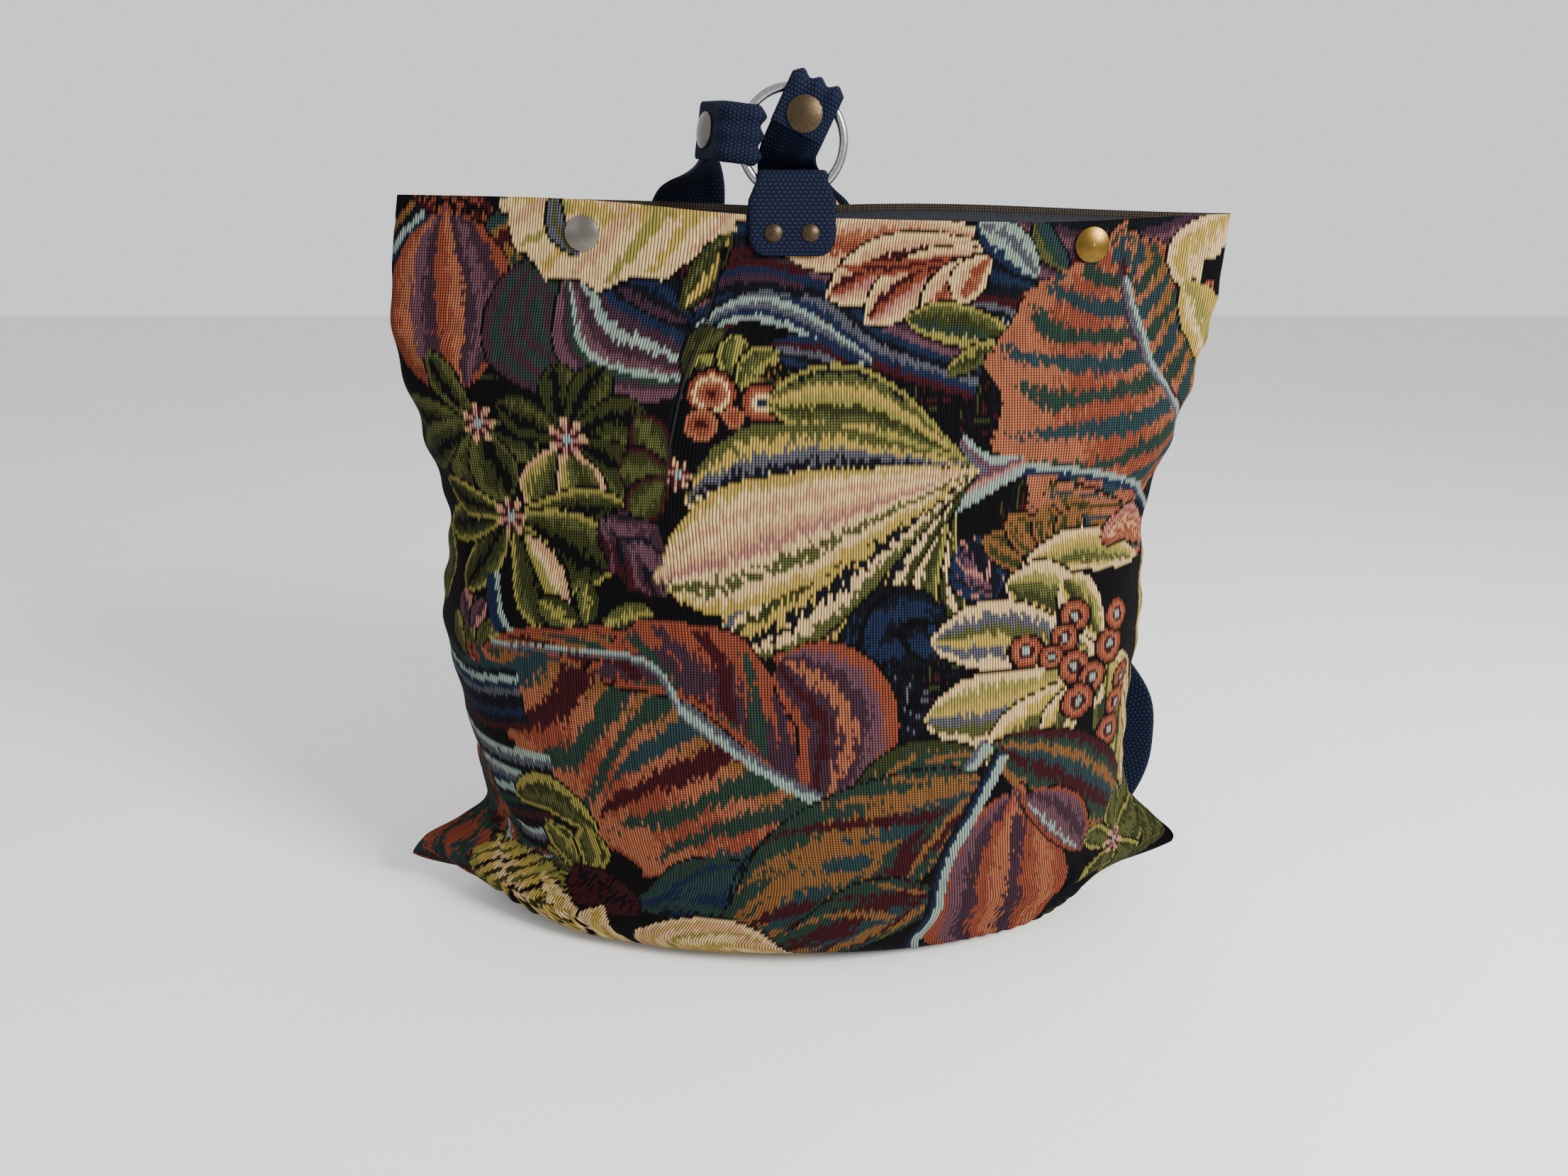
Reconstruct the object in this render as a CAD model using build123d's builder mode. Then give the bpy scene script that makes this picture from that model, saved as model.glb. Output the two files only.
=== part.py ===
from build123d import *
import os
from math import asin, cos, degrees, radians, sin, sqrt

# Brocade backpack that stands on its base: a pillow-shaped sack of two woven panels with a lining and a slash
# pocket, a ring held on the front rim by a webbing tab, and two webbing shoulder straps that wrap the ring
# and run down the back to the bottom corners. Millimetres, +Z up, front towards -Y, origin on the floor.

# Sack
bag_height = 349.0  # rim above the floor, at the middle
rim_fall = 8.0  # the rim's left end stands this much higher than its right end
half_width = 175.0  # middle to side seam, at the belly
front_belly = 74.0  # seam plane to front face, where the bag is fullest
back_belly = 66.0
rim_depth = 16.0  # seam plane to either face, at the rim
panel_thickness = 1.5
cloth_gap = 0.3  # between layers of cloth that lie on each other
lining_thickness = 0.6
lining_drop = 3.0  # the lining's edge below the rim
overrun = 6.0  # how far a cutting shape runs past what it cuts

# Slash pocket in the front panel
pocket_cloth = 0.8
slit_width = 2.0
slit_length = 121.0
slit_lean = 13.3  # degrees from upright
slit_x = -0.269 * half_width  # the pocket keeps its share of the width
slit_drop = 74.0  # the slit's middle below the rim
binding_width = 1.2
pocket_width = 112.0
pocket_height = 150.0
pocket_drop = 26.0  # the pocket's top edge below the rim

# Webbing, ring and front tab
webbing_width = 38.0
webbing_thickness = 1.6
ring_inside = 40.0
ring_wire = 3.8
ring_clearance = 0.4
ring_seat = 1.0  # the ring's lowest point above the rim
tab_x = -1.5
tab_gather = 30.0  # the tab's width where it is bunched in the ring
tab_front_drop = 22.0  # the tab's front leg ends this far below the rim
tab_back_drop = 19.0
tab_seat = 0.2  # between the tab and the front panel

# Rivets through the tab
rivet_spacing = 16.0
rivet_drop = 12.5
rivet_head = 7.6
rivet_crown = 1.9
rivet_edge = 0.5
rivet_shank = 3.0
washer_height = 0.9
hole_clearance = 0.15

# Press snaps
snap_cap = 15.0
snap_crown = 2.4
snap_edge = 0.8
snap_post = 4.0
socket_size = 11.0
socket_height = 3.6
socket_floor = 0.7
stud_size = 10.0
stud_flange = 1.0
stud_knob = 5.0
stud_reach = 2.4
eyelet_size = 9.0
eyelet_height = 0.9
snap_clearance = 0.2
snap_seat = 0.1  # between a rim snap and the cloth
rim_snap_drop = 14.5
rim_snap_left = -0.531 * half_width  # the snaps keep their shares of the width
rim_snap_right = 0.743 * half_width

# Shoulder straps
strap_gather = 24.0  # a strap's width where it is bunched on the ring
strap_reach = 124.0  # seam plane to the furthest point of a strap behind it
right_loop_turn = 64.0  # where each strap sits on the ring, in degrees up from the right
left_loop_turn = 172.0
right_snap_reach = 11.8  # ring's centre to the right strap's snap
tail_end = 3.5  # ring's centre to the end of the right strap's tail
left_bend = 9.6  # radius at which the left strap's tail turns to the back
left_lean = 62.0  # degrees it turns through
left_tail = 19.0  # straight end of the left strap's tail
left_lead = 6.0  # straight stretch of the left strap across the wire
backing_thickness = 1.0
backing_width = 30.0
backing_gap = 0.1
backing_bare = 12  # places of a strap's route, from its sewn end, that stay bare
strap_seat = 0.3  # between a strap's sewn end and the back panel

# The sack's level sections, from the floor up: height, reach to the left and to the right, belly, and how far
# the side seam is drawn out into a pointed corner. The corners stand out just above the floor.
profile_shares = (
    (0.000, 0.900, 0.960, 0.800, 0.24),
    (0.016, 1.040, 1.040, 0.900, 0.48),
    (0.045, 1.160, 1.110, 0.960, 1.00),
    (0.078, 1.120, 1.150, 0.980, 1.00),
    (0.115, 1.010, 1.090, 0.990, 0.65),
    (0.165, 0.935, 1.020, 1.000, 0.25),
    (0.230, 0.945, 0.990, 1.000, 0.05),
    (0.330, 0.975, 0.985, 0.970, 0.00),
    (0.450, 1.010, 1.000, 0.840, 0.00),
    (0.590, 0.975, 0.985, 0.600, 0.00),
    (0.710, 1.030, 1.050, 0.350, 0.00),
    (0.820, 1.060, 1.080, 0.120, 0.00),
    (0.900, 1.045, 1.100, 0.000, 0.00),
    (0.950, 1.030, 1.105, 0.000, 0.00),
    (1.000, 1.010, 1.110, 0.000, 0.00),
)
crown_shares = (0.0, 0.30, 0.58, 0.78, 0.90, 0.97)
crown_power = 2.2
blunt_power = 0.55
pointed_power = 1.40
side_skin_share = 2.0  # layers step in this much more at a side seam than at the belly
corner_skin_share = 8.0  # and this much more again in a pointed corner
tilt_start_share = 0.80  # the rim's slope begins at this height

# Runs of the straps down the back: across, behind the seam plane, up, and the strap's turn towards the side in
# degrees. The last place lies inside the bag, where the strap is sewn into the panel.
right_run_shares = (
    (0.045, 0.240, 0.985, 0),
    (0.100, 0.350, 0.910, 0),
    (0.170, 0.530, 0.825, 2),
    (0.290, 0.750, 0.720, 6),
    (0.450, 0.940, 0.610, 12),
    (0.620, 1.000, 0.490, 20),
    (0.790, 0.870, 0.385, 28),
    (0.945, 0.640, 0.300, 34),
    (1.040, 0.440, 0.235, 38),
    (1.010, 0.300, 0.175, 36),
    (0.920, 0.200, 0.125, 32),
    (0.820, 0.130, 0.085, 30),
)
left_run_shares = (
    (-0.310, 0.310, 0.955, 0),
    (-0.325, 0.400, 0.895, 0),
    (-0.365, 0.560, 0.815, -3),
    (-0.440, 0.740, 0.715, -8),
    (-0.545, 0.890, 0.605, -14),
    (-0.660, 0.930, 0.490, -20),
    (-0.770, 0.820, 0.385, -27),
    (-0.850, 0.620, 0.300, -33),
    (-0.885, 0.440, 0.235, -36),
    (-0.880, 0.310, 0.175, -36),
    (-0.830, 0.230, 0.125, -32),
    (-0.740, 0.150, 0.085, -30),
)
# How the left strap leaves its loop and comes over the back rim: share of the way there, and share of its twist
left_twist_shares = ((0.30, 0.25), (0.55, 0.55), (0.78, 0.85))
bend_shares = (0.0, 0.25, 0.5, 0.75, 1.0)
fold_turns = (-90, -60, -30, 0, 30, 60, 90)

front = -1
back = 1


def mixed(low, high, share):
    return low + (high - low) * share


def eased(rows, steps):
    """The rows with steps - 1 more between each two, on a curve that does not overshoot them."""
    columns = []
    for values in zip(*rows):
        jumps = [b - a for a, b in zip(values, values[1:])]
        slopes = [jumps[0]]
        for a, b in zip(jumps, jumps[1:]):
            slopes.append(2 * a * b / (a + b) if a * b > 0 else 0)
        slopes.append(jumps[-1])
        column = []
        for index, jump in enumerate(jumps):
            for step in range(steps):
                t = step / steps
                column.append(
                    values[index]
                    + jump * t * t * (3 - 2 * t)
                    + slopes[index] * t * (1 - t) ** 2
                    - slopes[index + 1] * t * t * (1 - t)
                )
        column.append(values[-1])
        columns.append(column)
    return list(zip(*columns))


sack_levels = eased(profile_shares, 2)


# Shape of the sack

def profile_at(height_share):
    """The sack's section at a height, between the two levels around it."""
    for low, high in zip(sack_levels, sack_levels[1:]):
        if height_share <= high[0]:
            share = (height_share - low[0]) / (high[0] - low[0])
            return [mixed(a, b, share) for a, b in zip(low, high)]
    return sack_levels[-1]


def crown(across, corner):
    power = mixed(blunt_power, pointed_power, corner)
    return (1 - abs(across) ** crown_power) ** power


def reach_at(level, x_sign, skin):
    """Middle to side seam, taken in for the layers of cloth outside."""
    step_in = skin * (side_skin_share + corner_skin_share * level[4])
    return half_width * level[2 if x_sign > 0 else 1] - step_in


def depth_at(level, side, skin):
    """Seam plane to the face at the middle, past the seam's own thickness."""
    belly = front_belly if side == front else back_belly
    return mixed(rim_depth, belly, level[3]) - skin


def face_depth(side, x, z, skin=0):
    """Seam plane to the sack's face at a place on it."""
    level = profile_at(z / bag_height)
    across = min(1, abs(x) / reach_at(level, x, skin))
    return panel_thickness + depth_at(level, side, skin) * crown(across, level[4])


rim_span = half_width * (profile_shares[-1][1] + profile_shares[-1][2])


def rim_height(x):
    return bag_height - rim_fall * x / rim_span


def level_plane(height_share, floor, top):
    share = max(0, (height_share - tilt_start_share) / (1 - tilt_start_share))
    tilt = degrees(asin(rim_fall / rim_span)) * share
    return Plane.XY.offset(mixed(floor, top, height_share)).rotated((0, tilt, 0))


def crown_points(level, side, skin):
    """Outline of one side of the sack at a level, from the left side seam to the right one."""
    left = reach_at(level, -1, skin)
    right = reach_at(level, 1, skin)
    depth = depth_at(level, side, skin)
    across = [-share for share in reversed(crown_shares[1:])] + list(crown_shares)
    points = [(-left, side * panel_thickness)]
    for share in across:
        reach = right if share > 0 else left
        points.append((share * reach, side * (panel_thickness + depth * crown(share, level[4]))))
    points.append((right, side * panel_thickness))
    return points


def half_bag(side, skin):
    """Filled half of the sack on one side of its seam plane, skin inside the outer face."""
    with BuildPart() as half:
        for level in sack_levels:
            points = crown_points(level, side, skin)
            with BuildSketch(level_plane(level[0], 0, bag_height)):
                with BuildLine():
                    Spline(*points)
                    Polyline(points[-1], (points[-1][0], 0), (points[0][0], 0), points[0])
                make_face()
        loft(ruled=True)
    return half.part


def cloth_layer(side, skin, thickness, floor, top):
    """One layer of cloth on one side of the sack, with its floor, open at the rim."""
    with BuildPart() as layer:
        for level in sack_levels:
            outside = crown_points(level, side, skin)
            inside = crown_points(level, side, skin + thickness)
            with BuildSketch(level_plane(level[0], floor, top)):
                with BuildLine():
                    Spline(*outside)
                    Polyline(outside[-1], (outside[-1][0], 0), (inside[-1][0], 0), inside[-1])
                    Spline(*inside)
                    Polyline(inside[0], (inside[0][0], 0), (outside[0][0], 0), outside[0])
                make_face()
        loft(ruled=True)
        points = crown_points(sack_levels[0], side, skin + thickness / 2)
        with BuildSketch(Plane.XY.offset(floor)):
            with BuildLine():
                Spline(*points)
                Polyline(points[-1], (points[-1][0], 0), (points[0][0], 0), points[0])
            make_face()
        extrude(amount=thickness)
    return layer.part


# Skins count from the outer face inwards
pocket_skin = panel_thickness + cloth_gap
lining_skin = pocket_skin + pocket_cloth + cloth_gap
rim_stack = lining_skin + lining_thickness


def rim_plane(side, x, drop):
    """Plane on the outer face of the rim band, its normal square to the cloth and outwards."""
    z = rim_height(x) - drop
    slope = (face_depth(side, x + drop, z) - face_depth(side, x - drop, z)) / (2 * drop)
    depth = face_depth(side, x, z) + snap_seat
    return Plane((x, side * depth, z), x_dir=(0, 0, 1), z_dir=(-slope, side, 0))


def rim_cloth(side, x, drop):
    """Thickness of the rim's layers at a place."""
    z = rim_height(x) - drop
    return face_depth(side, x, z) - face_depth(side, x, z, rim_stack) + 2 * snap_seat


def stepped(plane, distance, flip=False):
    """The plane moved along its own normal, and turned over where flip is set."""
    origin = plane.origin + plane.z_dir * distance
    return Plane(origin, x_dir=plane.x_dir, z_dir=plane.z_dir * (-1 if flip else 1))


# Turned pieces: each outline is radius and height over the cloth face that the piece sits on

def turned(plane, corners, dome=None):
    """Solid of revolution on a plane, with an arc over the last corner where a dome height is given."""
    with BuildPart() as piece:
        with BuildSketch(Plane(plane.origin, x_dir=plane.x_dir, z_dir=plane.x_dir.cross(plane.z_dir))):
            with BuildLine():
                Polyline(*corners)
                radius, edge = corners[-1]
                if dome is None:
                    Line((radius, edge), corners[0])
                else:
                    rise = dome - edge
                    ball = (radius * radius + rise * rise) / (2 * rise)
                    half_turn = asin(radius / ball) / 2
                    middle = (ball * sin(half_turn), dome - ball * (1 - cos(half_turn)))
                    ThreePointArc((radius, edge), middle, (0, dome))
                    Line((0, dome), corners[0])
            make_face()
        revolve(axis=Axis(plane.origin, plane.z_dir))
    return piece.part


def snap_pieces(cap_plane, cap_cloth, stud_plane, stud_cloth):
    """Cap and socket on one cloth, stud and eyelet on the other, each pair riveted through its cloth."""
    cap = turned(
        cap_plane,
        ((0, -cap_cloth), (snap_post / 2, -cap_cloth), (snap_post / 2, 0), (snap_cap / 2, 0), (snap_cap / 2, snap_edge)),
        snap_crown,
    )
    bore = stud_knob / 2 + snap_clearance
    socket = turned(
        stepped(cap_plane, -cap_cloth, flip=True),
        ((0, 0), (socket_size / 2, 0), (socket_size / 2, socket_height), (bore, socket_height), (bore, socket_floor),
         (0, socket_floor)),
    )
    knob = stud_flange + stud_reach
    stud = turned(
        stud_plane,
        ((0, 0), (stud_size / 2, 0), (stud_size / 2, stud_flange), (stud_knob / 2, stud_flange), (stud_knob / 2, knob),
         (0, knob)),
    )
    eyelet = turned(
        stepped(stud_plane, -stud_cloth, flip=True),
        ((0, -stud_cloth), (snap_post / 2, -stud_cloth), (snap_post / 2, 0), (eyelet_size / 2, 0),
         (eyelet_size / 2, eyelet_height), (0, eyelet_height)),
    )
    return {"cap": cap, "socket": socket, "stud": stud, "eyelet": eyelet}


def post_hole(plane, depth):
    """Round cutter for a snap's post, from the plane inwards."""
    with BuildPart() as hole:
        with BuildSketch(stepped(plane, overrun)):
            Circle(snap_post / 2 + hole_clearance)
        extrude(amount=-(depth + 2 * overrun))
    return hole.part


# Webbing: a ribbon through places along a route, each with its width's direction

def frames_along(places, width_dirs):
    frames = []
    for index, place in enumerate(places):
        ahead = places[min(index + 1, len(places) - 1)]
        behind = places[max(index - 1, 0)]
        run = (ahead - behind).normalized()
        across = width_dirs[index] - run * width_dirs[index].dot(run)
        frames.append(Plane(place, x_dir=across, z_dir=run))
    return frames


def ribbon(frames, widths, thickness, lift=0):
    """Flat band through the frames, lifted off them along their Y."""
    with BuildPart() as band:
        for frame, width in zip(frames, widths):
            with BuildSketch(Plane(frame.origin + frame.y_dir * lift, x_dir=frame.x_dir, z_dir=frame.z_dir)):
                Rectangle(width, thickness)
        loft(ruled=True)
    return band.part


def run_along(shares):
    """Places and width directions of a strap's run down the back."""
    rows = eased(shares, 2)
    places = [Vector(row[0] * half_width, row[1] * strap_reach, row[2] * bag_height) for row in rows]
    dirs = [Vector(-cos(radians(row[3])), sin(radians(row[3])), 0) for row in rows]
    return places, dirs


# Ring and the places on it

ring_radius = (ring_inside + ring_wire) / 2
tab_face = -(rim_depth + panel_thickness + tab_seat)  # inner face of the tab's front leg
tab_gap = ring_wire + 2 * ring_clearance
ring_y = tab_face + tab_gap / 2
ring_z = rim_height(tab_x) + ring_seat + ring_radius + ring_wire / 2
ring_centre = Vector(tab_x, ring_y, ring_z)

with BuildPart() as ring:
    with BuildSketch(Plane((tab_x, ring_y, ring_z), x_dir=(1, 0, 0), z_dir=(0, 0, 1))):
        with Locations((ring_radius, 0)):
            Circle(ring_wire / 2)
    revolve(axis=Axis(ring_centre, (0, 1, 0)))

# Front tab: a hairpin of webbing, bunched in the ring and spread on the panel

tab_turn = (tab_gap + webbing_thickness) / 2  # radius of the fold at the middle of the webbing
ring_clear_z = ring_z - sqrt((ring_inside / 2) ** 2 - (tab_gather / 2) ** 2) + ring_clearance
tab_top = ring_clear_z - tab_gap / 2  # centre of the fold
tab_low = rim_height(tab_x) - tab_front_drop
tab_back_low = rim_height(tab_x) - tab_back_drop
tab_spread = rim_height(tab_x) + ring_seat  # above this the tab narrows

tab_places = [Vector(tab_x, ring_y - tab_turn, tab_low), Vector(tab_x, ring_y - tab_turn, tab_spread)]
for turn in fold_turns:
    tab_places.append(
        Vector(tab_x, ring_y + tab_turn * sin(radians(turn)), tab_top + tab_turn * cos(radians(turn)))
    )
tab_places += [Vector(tab_x, ring_y + tab_turn, tab_spread), Vector(tab_x, ring_y + tab_turn, tab_back_low)]
tab_widths = [webbing_width, webbing_width] + [tab_gather] * len(fold_turns) + [webbing_width, webbing_width]
tab_band = ribbon(frames_along(tab_places, [Vector(1, 0, 0)] * len(tab_places)), tab_widths, webbing_thickness)

rivet_z = rim_height(tab_x) - rivet_drop
rivet_x = {"left": tab_x - rivet_spacing / 2, "right": tab_x + rivet_spacing / 2}
tab_outside = ring_y - tab_turn - webbing_thickness / 2
tab_inside = ring_y + tab_turn + webbing_thickness / 2
rivet_length = tab_inside - tab_outside
rivet_holes = []
rivets = {}
washers = {}
for name, x in rivet_x.items():
    head_plane = Plane((x, tab_outside, rivet_z), x_dir=(0, 0, 1), z_dir=(0, -1, 0))
    burr_plane = stepped(head_plane, -rivet_length, flip=True)
    shank = rivet_shank / 2
    end = -(rivet_length + washer_height)
    rivets[name] = turned(
        head_plane,
        ((0, end), (shank, end), (shank, 0), (rivet_head / 2, 0), (rivet_head / 2, rivet_edge)),
        rivet_crown,
    )
    bore = shank + hole_clearance
    washers[name] = turned(
        burr_plane, ((bore, 0), (rivet_head / 2, 0), (rivet_head / 2, washer_height), (bore, washer_height))
    )
    with BuildPart() as rivet_hole:
        with BuildSketch(stepped(head_plane, overrun)):
            Circle(bore)
        extrude(amount=-(rivet_length + 2 * overrun))
    rivet_holes.append(rivet_hole.part)

with BuildPart() as front_tab:
    add(tab_band)
    for hole in rivet_holes:
        add(hole, mode=Mode.SUBTRACT)

# Snaps on the rim: caps on the front, studs inside the back

rim_snaps = {}
front_holes = list(rivet_holes)
back_holes = []
for name, x in (("left", rim_snap_left), ("right", rim_snap_right)):
    cap_plane = rim_plane(front, x, rim_snap_drop)
    eyelet_plane = rim_plane(back, x, rim_snap_drop)
    front_cloth = rim_cloth(front, x, rim_snap_drop)
    back_cloth = rim_cloth(back, x, rim_snap_drop)
    stud_plane = stepped(eyelet_plane, -back_cloth, flip=True)
    rim_snaps[name] = snap_pieces(cap_plane, front_cloth, stud_plane, back_cloth)
    front_holes.append(post_hole(cap_plane, front_cloth))
    back_holes.append(post_hole(eyelet_plane, back_cloth))

# Sack panels, lining and pocket

slit_z = rim_height(slit_x) - slit_drop
slit_plane = Plane((slit_x, 0, slit_z), x_dir=(cos(radians(slit_lean)), 0, -sin(radians(slit_lean))), z_dir=(0, -1, 0))
slit_reach = front_belly + panel_thickness + overrun
with BuildPart() as slit:
    with BuildSketch(slit_plane):
        Rectangle(slit_width, slit_length)
    extrude(amount=slit_reach)
with BuildPart() as binding_bar:
    with BuildSketch(slit_plane):
        with Locations(((binding_width - slit_width) / 2, 0)):
            Rectangle(binding_width, slit_length)
    extrude(amount=slit_reach)

front_shell = cloth_layer(front, 0, panel_thickness, 0, bag_height)
with BuildPart() as front_panel:
    add(front_shell)
    add(slit.part, mode=Mode.SUBTRACT)
    for hole in front_holes:
        add(hole, mode=Mode.SUBTRACT)

with BuildPart() as pocket_binding:
    add(front_shell)
    add(binding_bar.part, mode=Mode.INTERSECT)

back_shell = cloth_layer(back, 0, panel_thickness, 0, bag_height)
with BuildPart() as back_panel:
    add(back_shell)
    for hole in back_holes:
        add(hole, mode=Mode.SUBTRACT)

pocket_shell = cloth_layer(front, pocket_skin, pocket_cloth, pocket_skin, bag_height)
pocket_z = bag_height - pocket_drop - pocket_height / 2
pocket_plane = Plane((slit_x - pocket_width / 2 + slit_width, 0, pocket_z), x_dir=(1, 0, 0), z_dir=(0, -1, 0))
with BuildPart() as pocket_bag:
    add(pocket_shell)
    with BuildSketch(pocket_plane):
        Rectangle(pocket_width, pocket_height)
    extrude(amount=slit_reach, mode=Mode.INTERSECT)

lining_top = bag_height - lining_drop
lining_halves = [cloth_layer(side, lining_skin, lining_thickness, lining_skin, lining_top) for side in (front, back)]
with BuildPart() as lining:
    for half in lining_halves:
        add(half)
    for hole in front_holes + back_holes:
        add(hole, mode=Mode.SUBTRACT)

# Straps: each tail is snapped on its own strap after going round the ring's wire

layer_offset = (socket_height + stud_flange + snap_clearance + webbing_thickness) / 2
fold_inside = layer_offset - webbing_thickness / 2
snap_room = socket_height + stud_flange + snap_clearance
strap_cover = half_bag(back, -strap_seat)


def ring_place(turn, radial, y):
    """Place near the ring, at a distance from its centre along a turn and behind its plane."""
    return ring_centre + Vector(cos(radians(turn)) * radial, y, sin(radians(turn)) * radial)


def snapped(band, holes):
    with BuildPart() as strap:
        add(band)
        add(strap_cover, mode=Mode.SUBTRACT)
        for hole in holes:
            add(hole, mode=Mode.SUBTRACT)
    return strap.part


def trimmed(band):
    with BuildPart() as piece:
        add(band)
        add(strap_cover, mode=Mode.SUBTRACT)
    return piece.part


# Right strap: hairpin over the top of the ring, tail in front
right_width = Vector(-sin(radians(right_loop_turn)), 0, cos(radians(right_loop_turn)))
right_places = [
    ring_place(right_loop_turn, tail_end, -layer_offset),
    ring_place(right_loop_turn, ring_radius - fold_inside, -layer_offset),
]
for turn in fold_turns:
    fold = ring_radius + layer_offset * cos(radians(turn))
    right_places.append(ring_place(right_loop_turn, fold, layer_offset * sin(radians(turn))))
right_places += [
    ring_place(right_loop_turn, ring_radius - fold_inside, layer_offset),
    ring_place(right_loop_turn, right_snap_reach - socket_size / 2, layer_offset),
    ring_place(right_loop_turn, tail_end, layer_offset),
    ring_place(right_loop_turn, -webbing_thickness, layer_offset + webbing_thickness),
]
right_dirs = [right_width] * len(right_places)
right_widths = [strap_gather] * len(right_places)
right_backing_start = len(right_places)
run_places, run_dirs = run_along(right_run_shares)
rim_cross = Vector(tab_x, (run_places[0].Y + ring_y) / 2, (run_places[0].Z + ring_z) / 2)
right_places += [rim_cross] + run_places
right_dirs += [run_dirs[0]] + run_dirs
right_widths += [(strap_gather + webbing_width) / 2] + [webbing_width] * len(run_places)
right_frames = frames_along(right_places, right_dirs)
right_band = ribbon(right_frames, right_widths, webbing_thickness)

snap_spot = ring_place(right_loop_turn, right_snap_reach, -layer_offset - webbing_thickness / 2)
right_cap_plane = Plane(snap_spot, x_dir=right_width, z_dir=(0, -1, 0))
right_stud_plane = stepped(right_cap_plane, -webbing_thickness - snap_room)
right_snap = snap_pieces(right_cap_plane, webbing_thickness, right_stud_plane, webbing_thickness)
right_hole = post_hole(right_cap_plane, 2 * layer_offset + webbing_thickness)
strap_right = snapped(right_band, [right_hole])

# Left strap: hairpin from inside the ring over its left side, both layers turning to the back
left_width = Vector(-sin(radians(left_loop_turn)), 0, cos(radians(left_loop_turn)))
left_fold = sqrt((ring_inside / 2) ** 2 - (strap_gather / 2) ** 2) - ring_clearance + fold_inside
bend_start = ring_radius + left_lead / 3
bend_y = left_bend - layer_offset
main_bend = left_bend - 2 * layer_offset
straight_start = left_tail - snap_cap - webbing_thickness


def bend_spot(radius, turn, run):
    """Place on one of the left strap's layers: a turn round the bend, then a straight run."""
    radial = bend_start + radius * sin(radians(turn)) + run * cos(radians(turn))
    return radial, bend_y - radius * cos(radians(turn)) + run * sin(radians(turn))


left_spots = [bend_spot(left_bend, left_lean, left_tail), bend_spot(left_bend, left_lean, straight_start)]
for share in reversed(bend_shares):
    left_spots.append(bend_spot(left_bend, share * left_lean, 0))
for turn in fold_turns:
    left_spots.append((left_fold - layer_offset * cos(radians(turn)), layer_offset * sin(radians(turn))))
for share in bend_shares:
    left_spots.append(bend_spot(main_bend, share * left_lean, 0))
left_spots += [bend_spot(main_bend, left_lean, straight_start), bend_spot(main_bend, left_lean, left_tail)]
left_places = [ring_place(left_loop_turn, radial, y) for radial, y in left_spots]
left_dirs = [left_width] * len(left_places)
left_widths = [strap_gather] * len(left_places)
leaving = left_places[-1]
run_places, run_dirs = run_along(left_run_shares)
for way, twist in left_twist_shares:
    place = leaving + (run_places[0] - leaving) * way
    rise = webbing_width / 2 * way * (1 - way)
    left_places.append(place + Vector(0, 0, rise))
    left_dirs.append(left_width * (1 - twist) + run_dirs[0] * twist)
    left_widths.append(mixed(strap_gather, webbing_width, way))
left_backing_start = len(left_places) - 1
left_places += run_places
left_dirs += run_dirs
left_widths += [webbing_width] * len(run_places)
left_frames = frames_along(left_places, left_dirs)
left_band = ribbon(left_frames, left_widths, webbing_thickness)

left_snap_run = left_tail - (snap_cap + webbing_thickness) / 2
left_out = ring_place(left_loop_turn, sin(radians(left_lean)), -cos(radians(left_lean))) - ring_centre
snap_spot = ring_place(left_loop_turn, *bend_spot(left_bend + webbing_thickness / 2, left_lean, left_snap_run))
left_cap_plane = Plane(snap_spot, x_dir=left_width, z_dir=left_out)
left_stud_plane = stepped(left_cap_plane, -webbing_thickness - snap_room)
left_snap = snap_pieces(left_cap_plane, webbing_thickness, left_stud_plane, webbing_thickness)
left_hole = post_hole(left_cap_plane, 2 * layer_offset + webbing_thickness)
strap_left = snapped(left_band, [left_hole])

# Soft backing on the faces of the straps that meet the shoulders
backing_lift = -(webbing_thickness + backing_thickness) / 2 - backing_gap
backings = {}
for name, frames, start in (("left", left_frames, left_backing_start), ("right", right_frames, right_backing_start)):
    band_frames = frames[start : len(frames) - backing_bare]
    band = ribbon(band_frames, [backing_width] * len(band_frames), backing_thickness, backing_lift)
    backings[name] = trimmed(band)

# Output

os.makedirs("parts", exist_ok=True)
pieces = {
    "front_panel": front_panel.part,
    "back_panel": back_panel.part,
    "lining": lining.part,
    "pocket_bag": pocket_bag.part,
    "pocket_binding": pocket_binding.part,
    "front_tab": front_tab.part,
    "ring": ring.part,
    "strap_left": strap_left,
    "strap_right": strap_right,
}
for name in ("left", "right"):
    pieces["tab_rivet_" + name] = rivets[name]
    pieces["tab_washer_" + name] = washers[name]
    pieces["strap_backing_" + name] = backings[name]
    for kind, piece in rim_snaps[name].items():
        pieces["rim_snap_" + name + "_" + kind] = piece
for name, group in (("left", left_snap), ("right", right_snap)):
    for kind, piece in group.items():
        pieces["strap_snap_" + name + "_" + kind] = piece

for label, piece in pieces.items():
    piece.label = label
    export_step(piece, "parts/" + label + ".step")
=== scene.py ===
import math

import bmesh
import bpy
import numpy as np
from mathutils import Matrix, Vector
from mathutils.kdtree import KDTree


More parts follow.
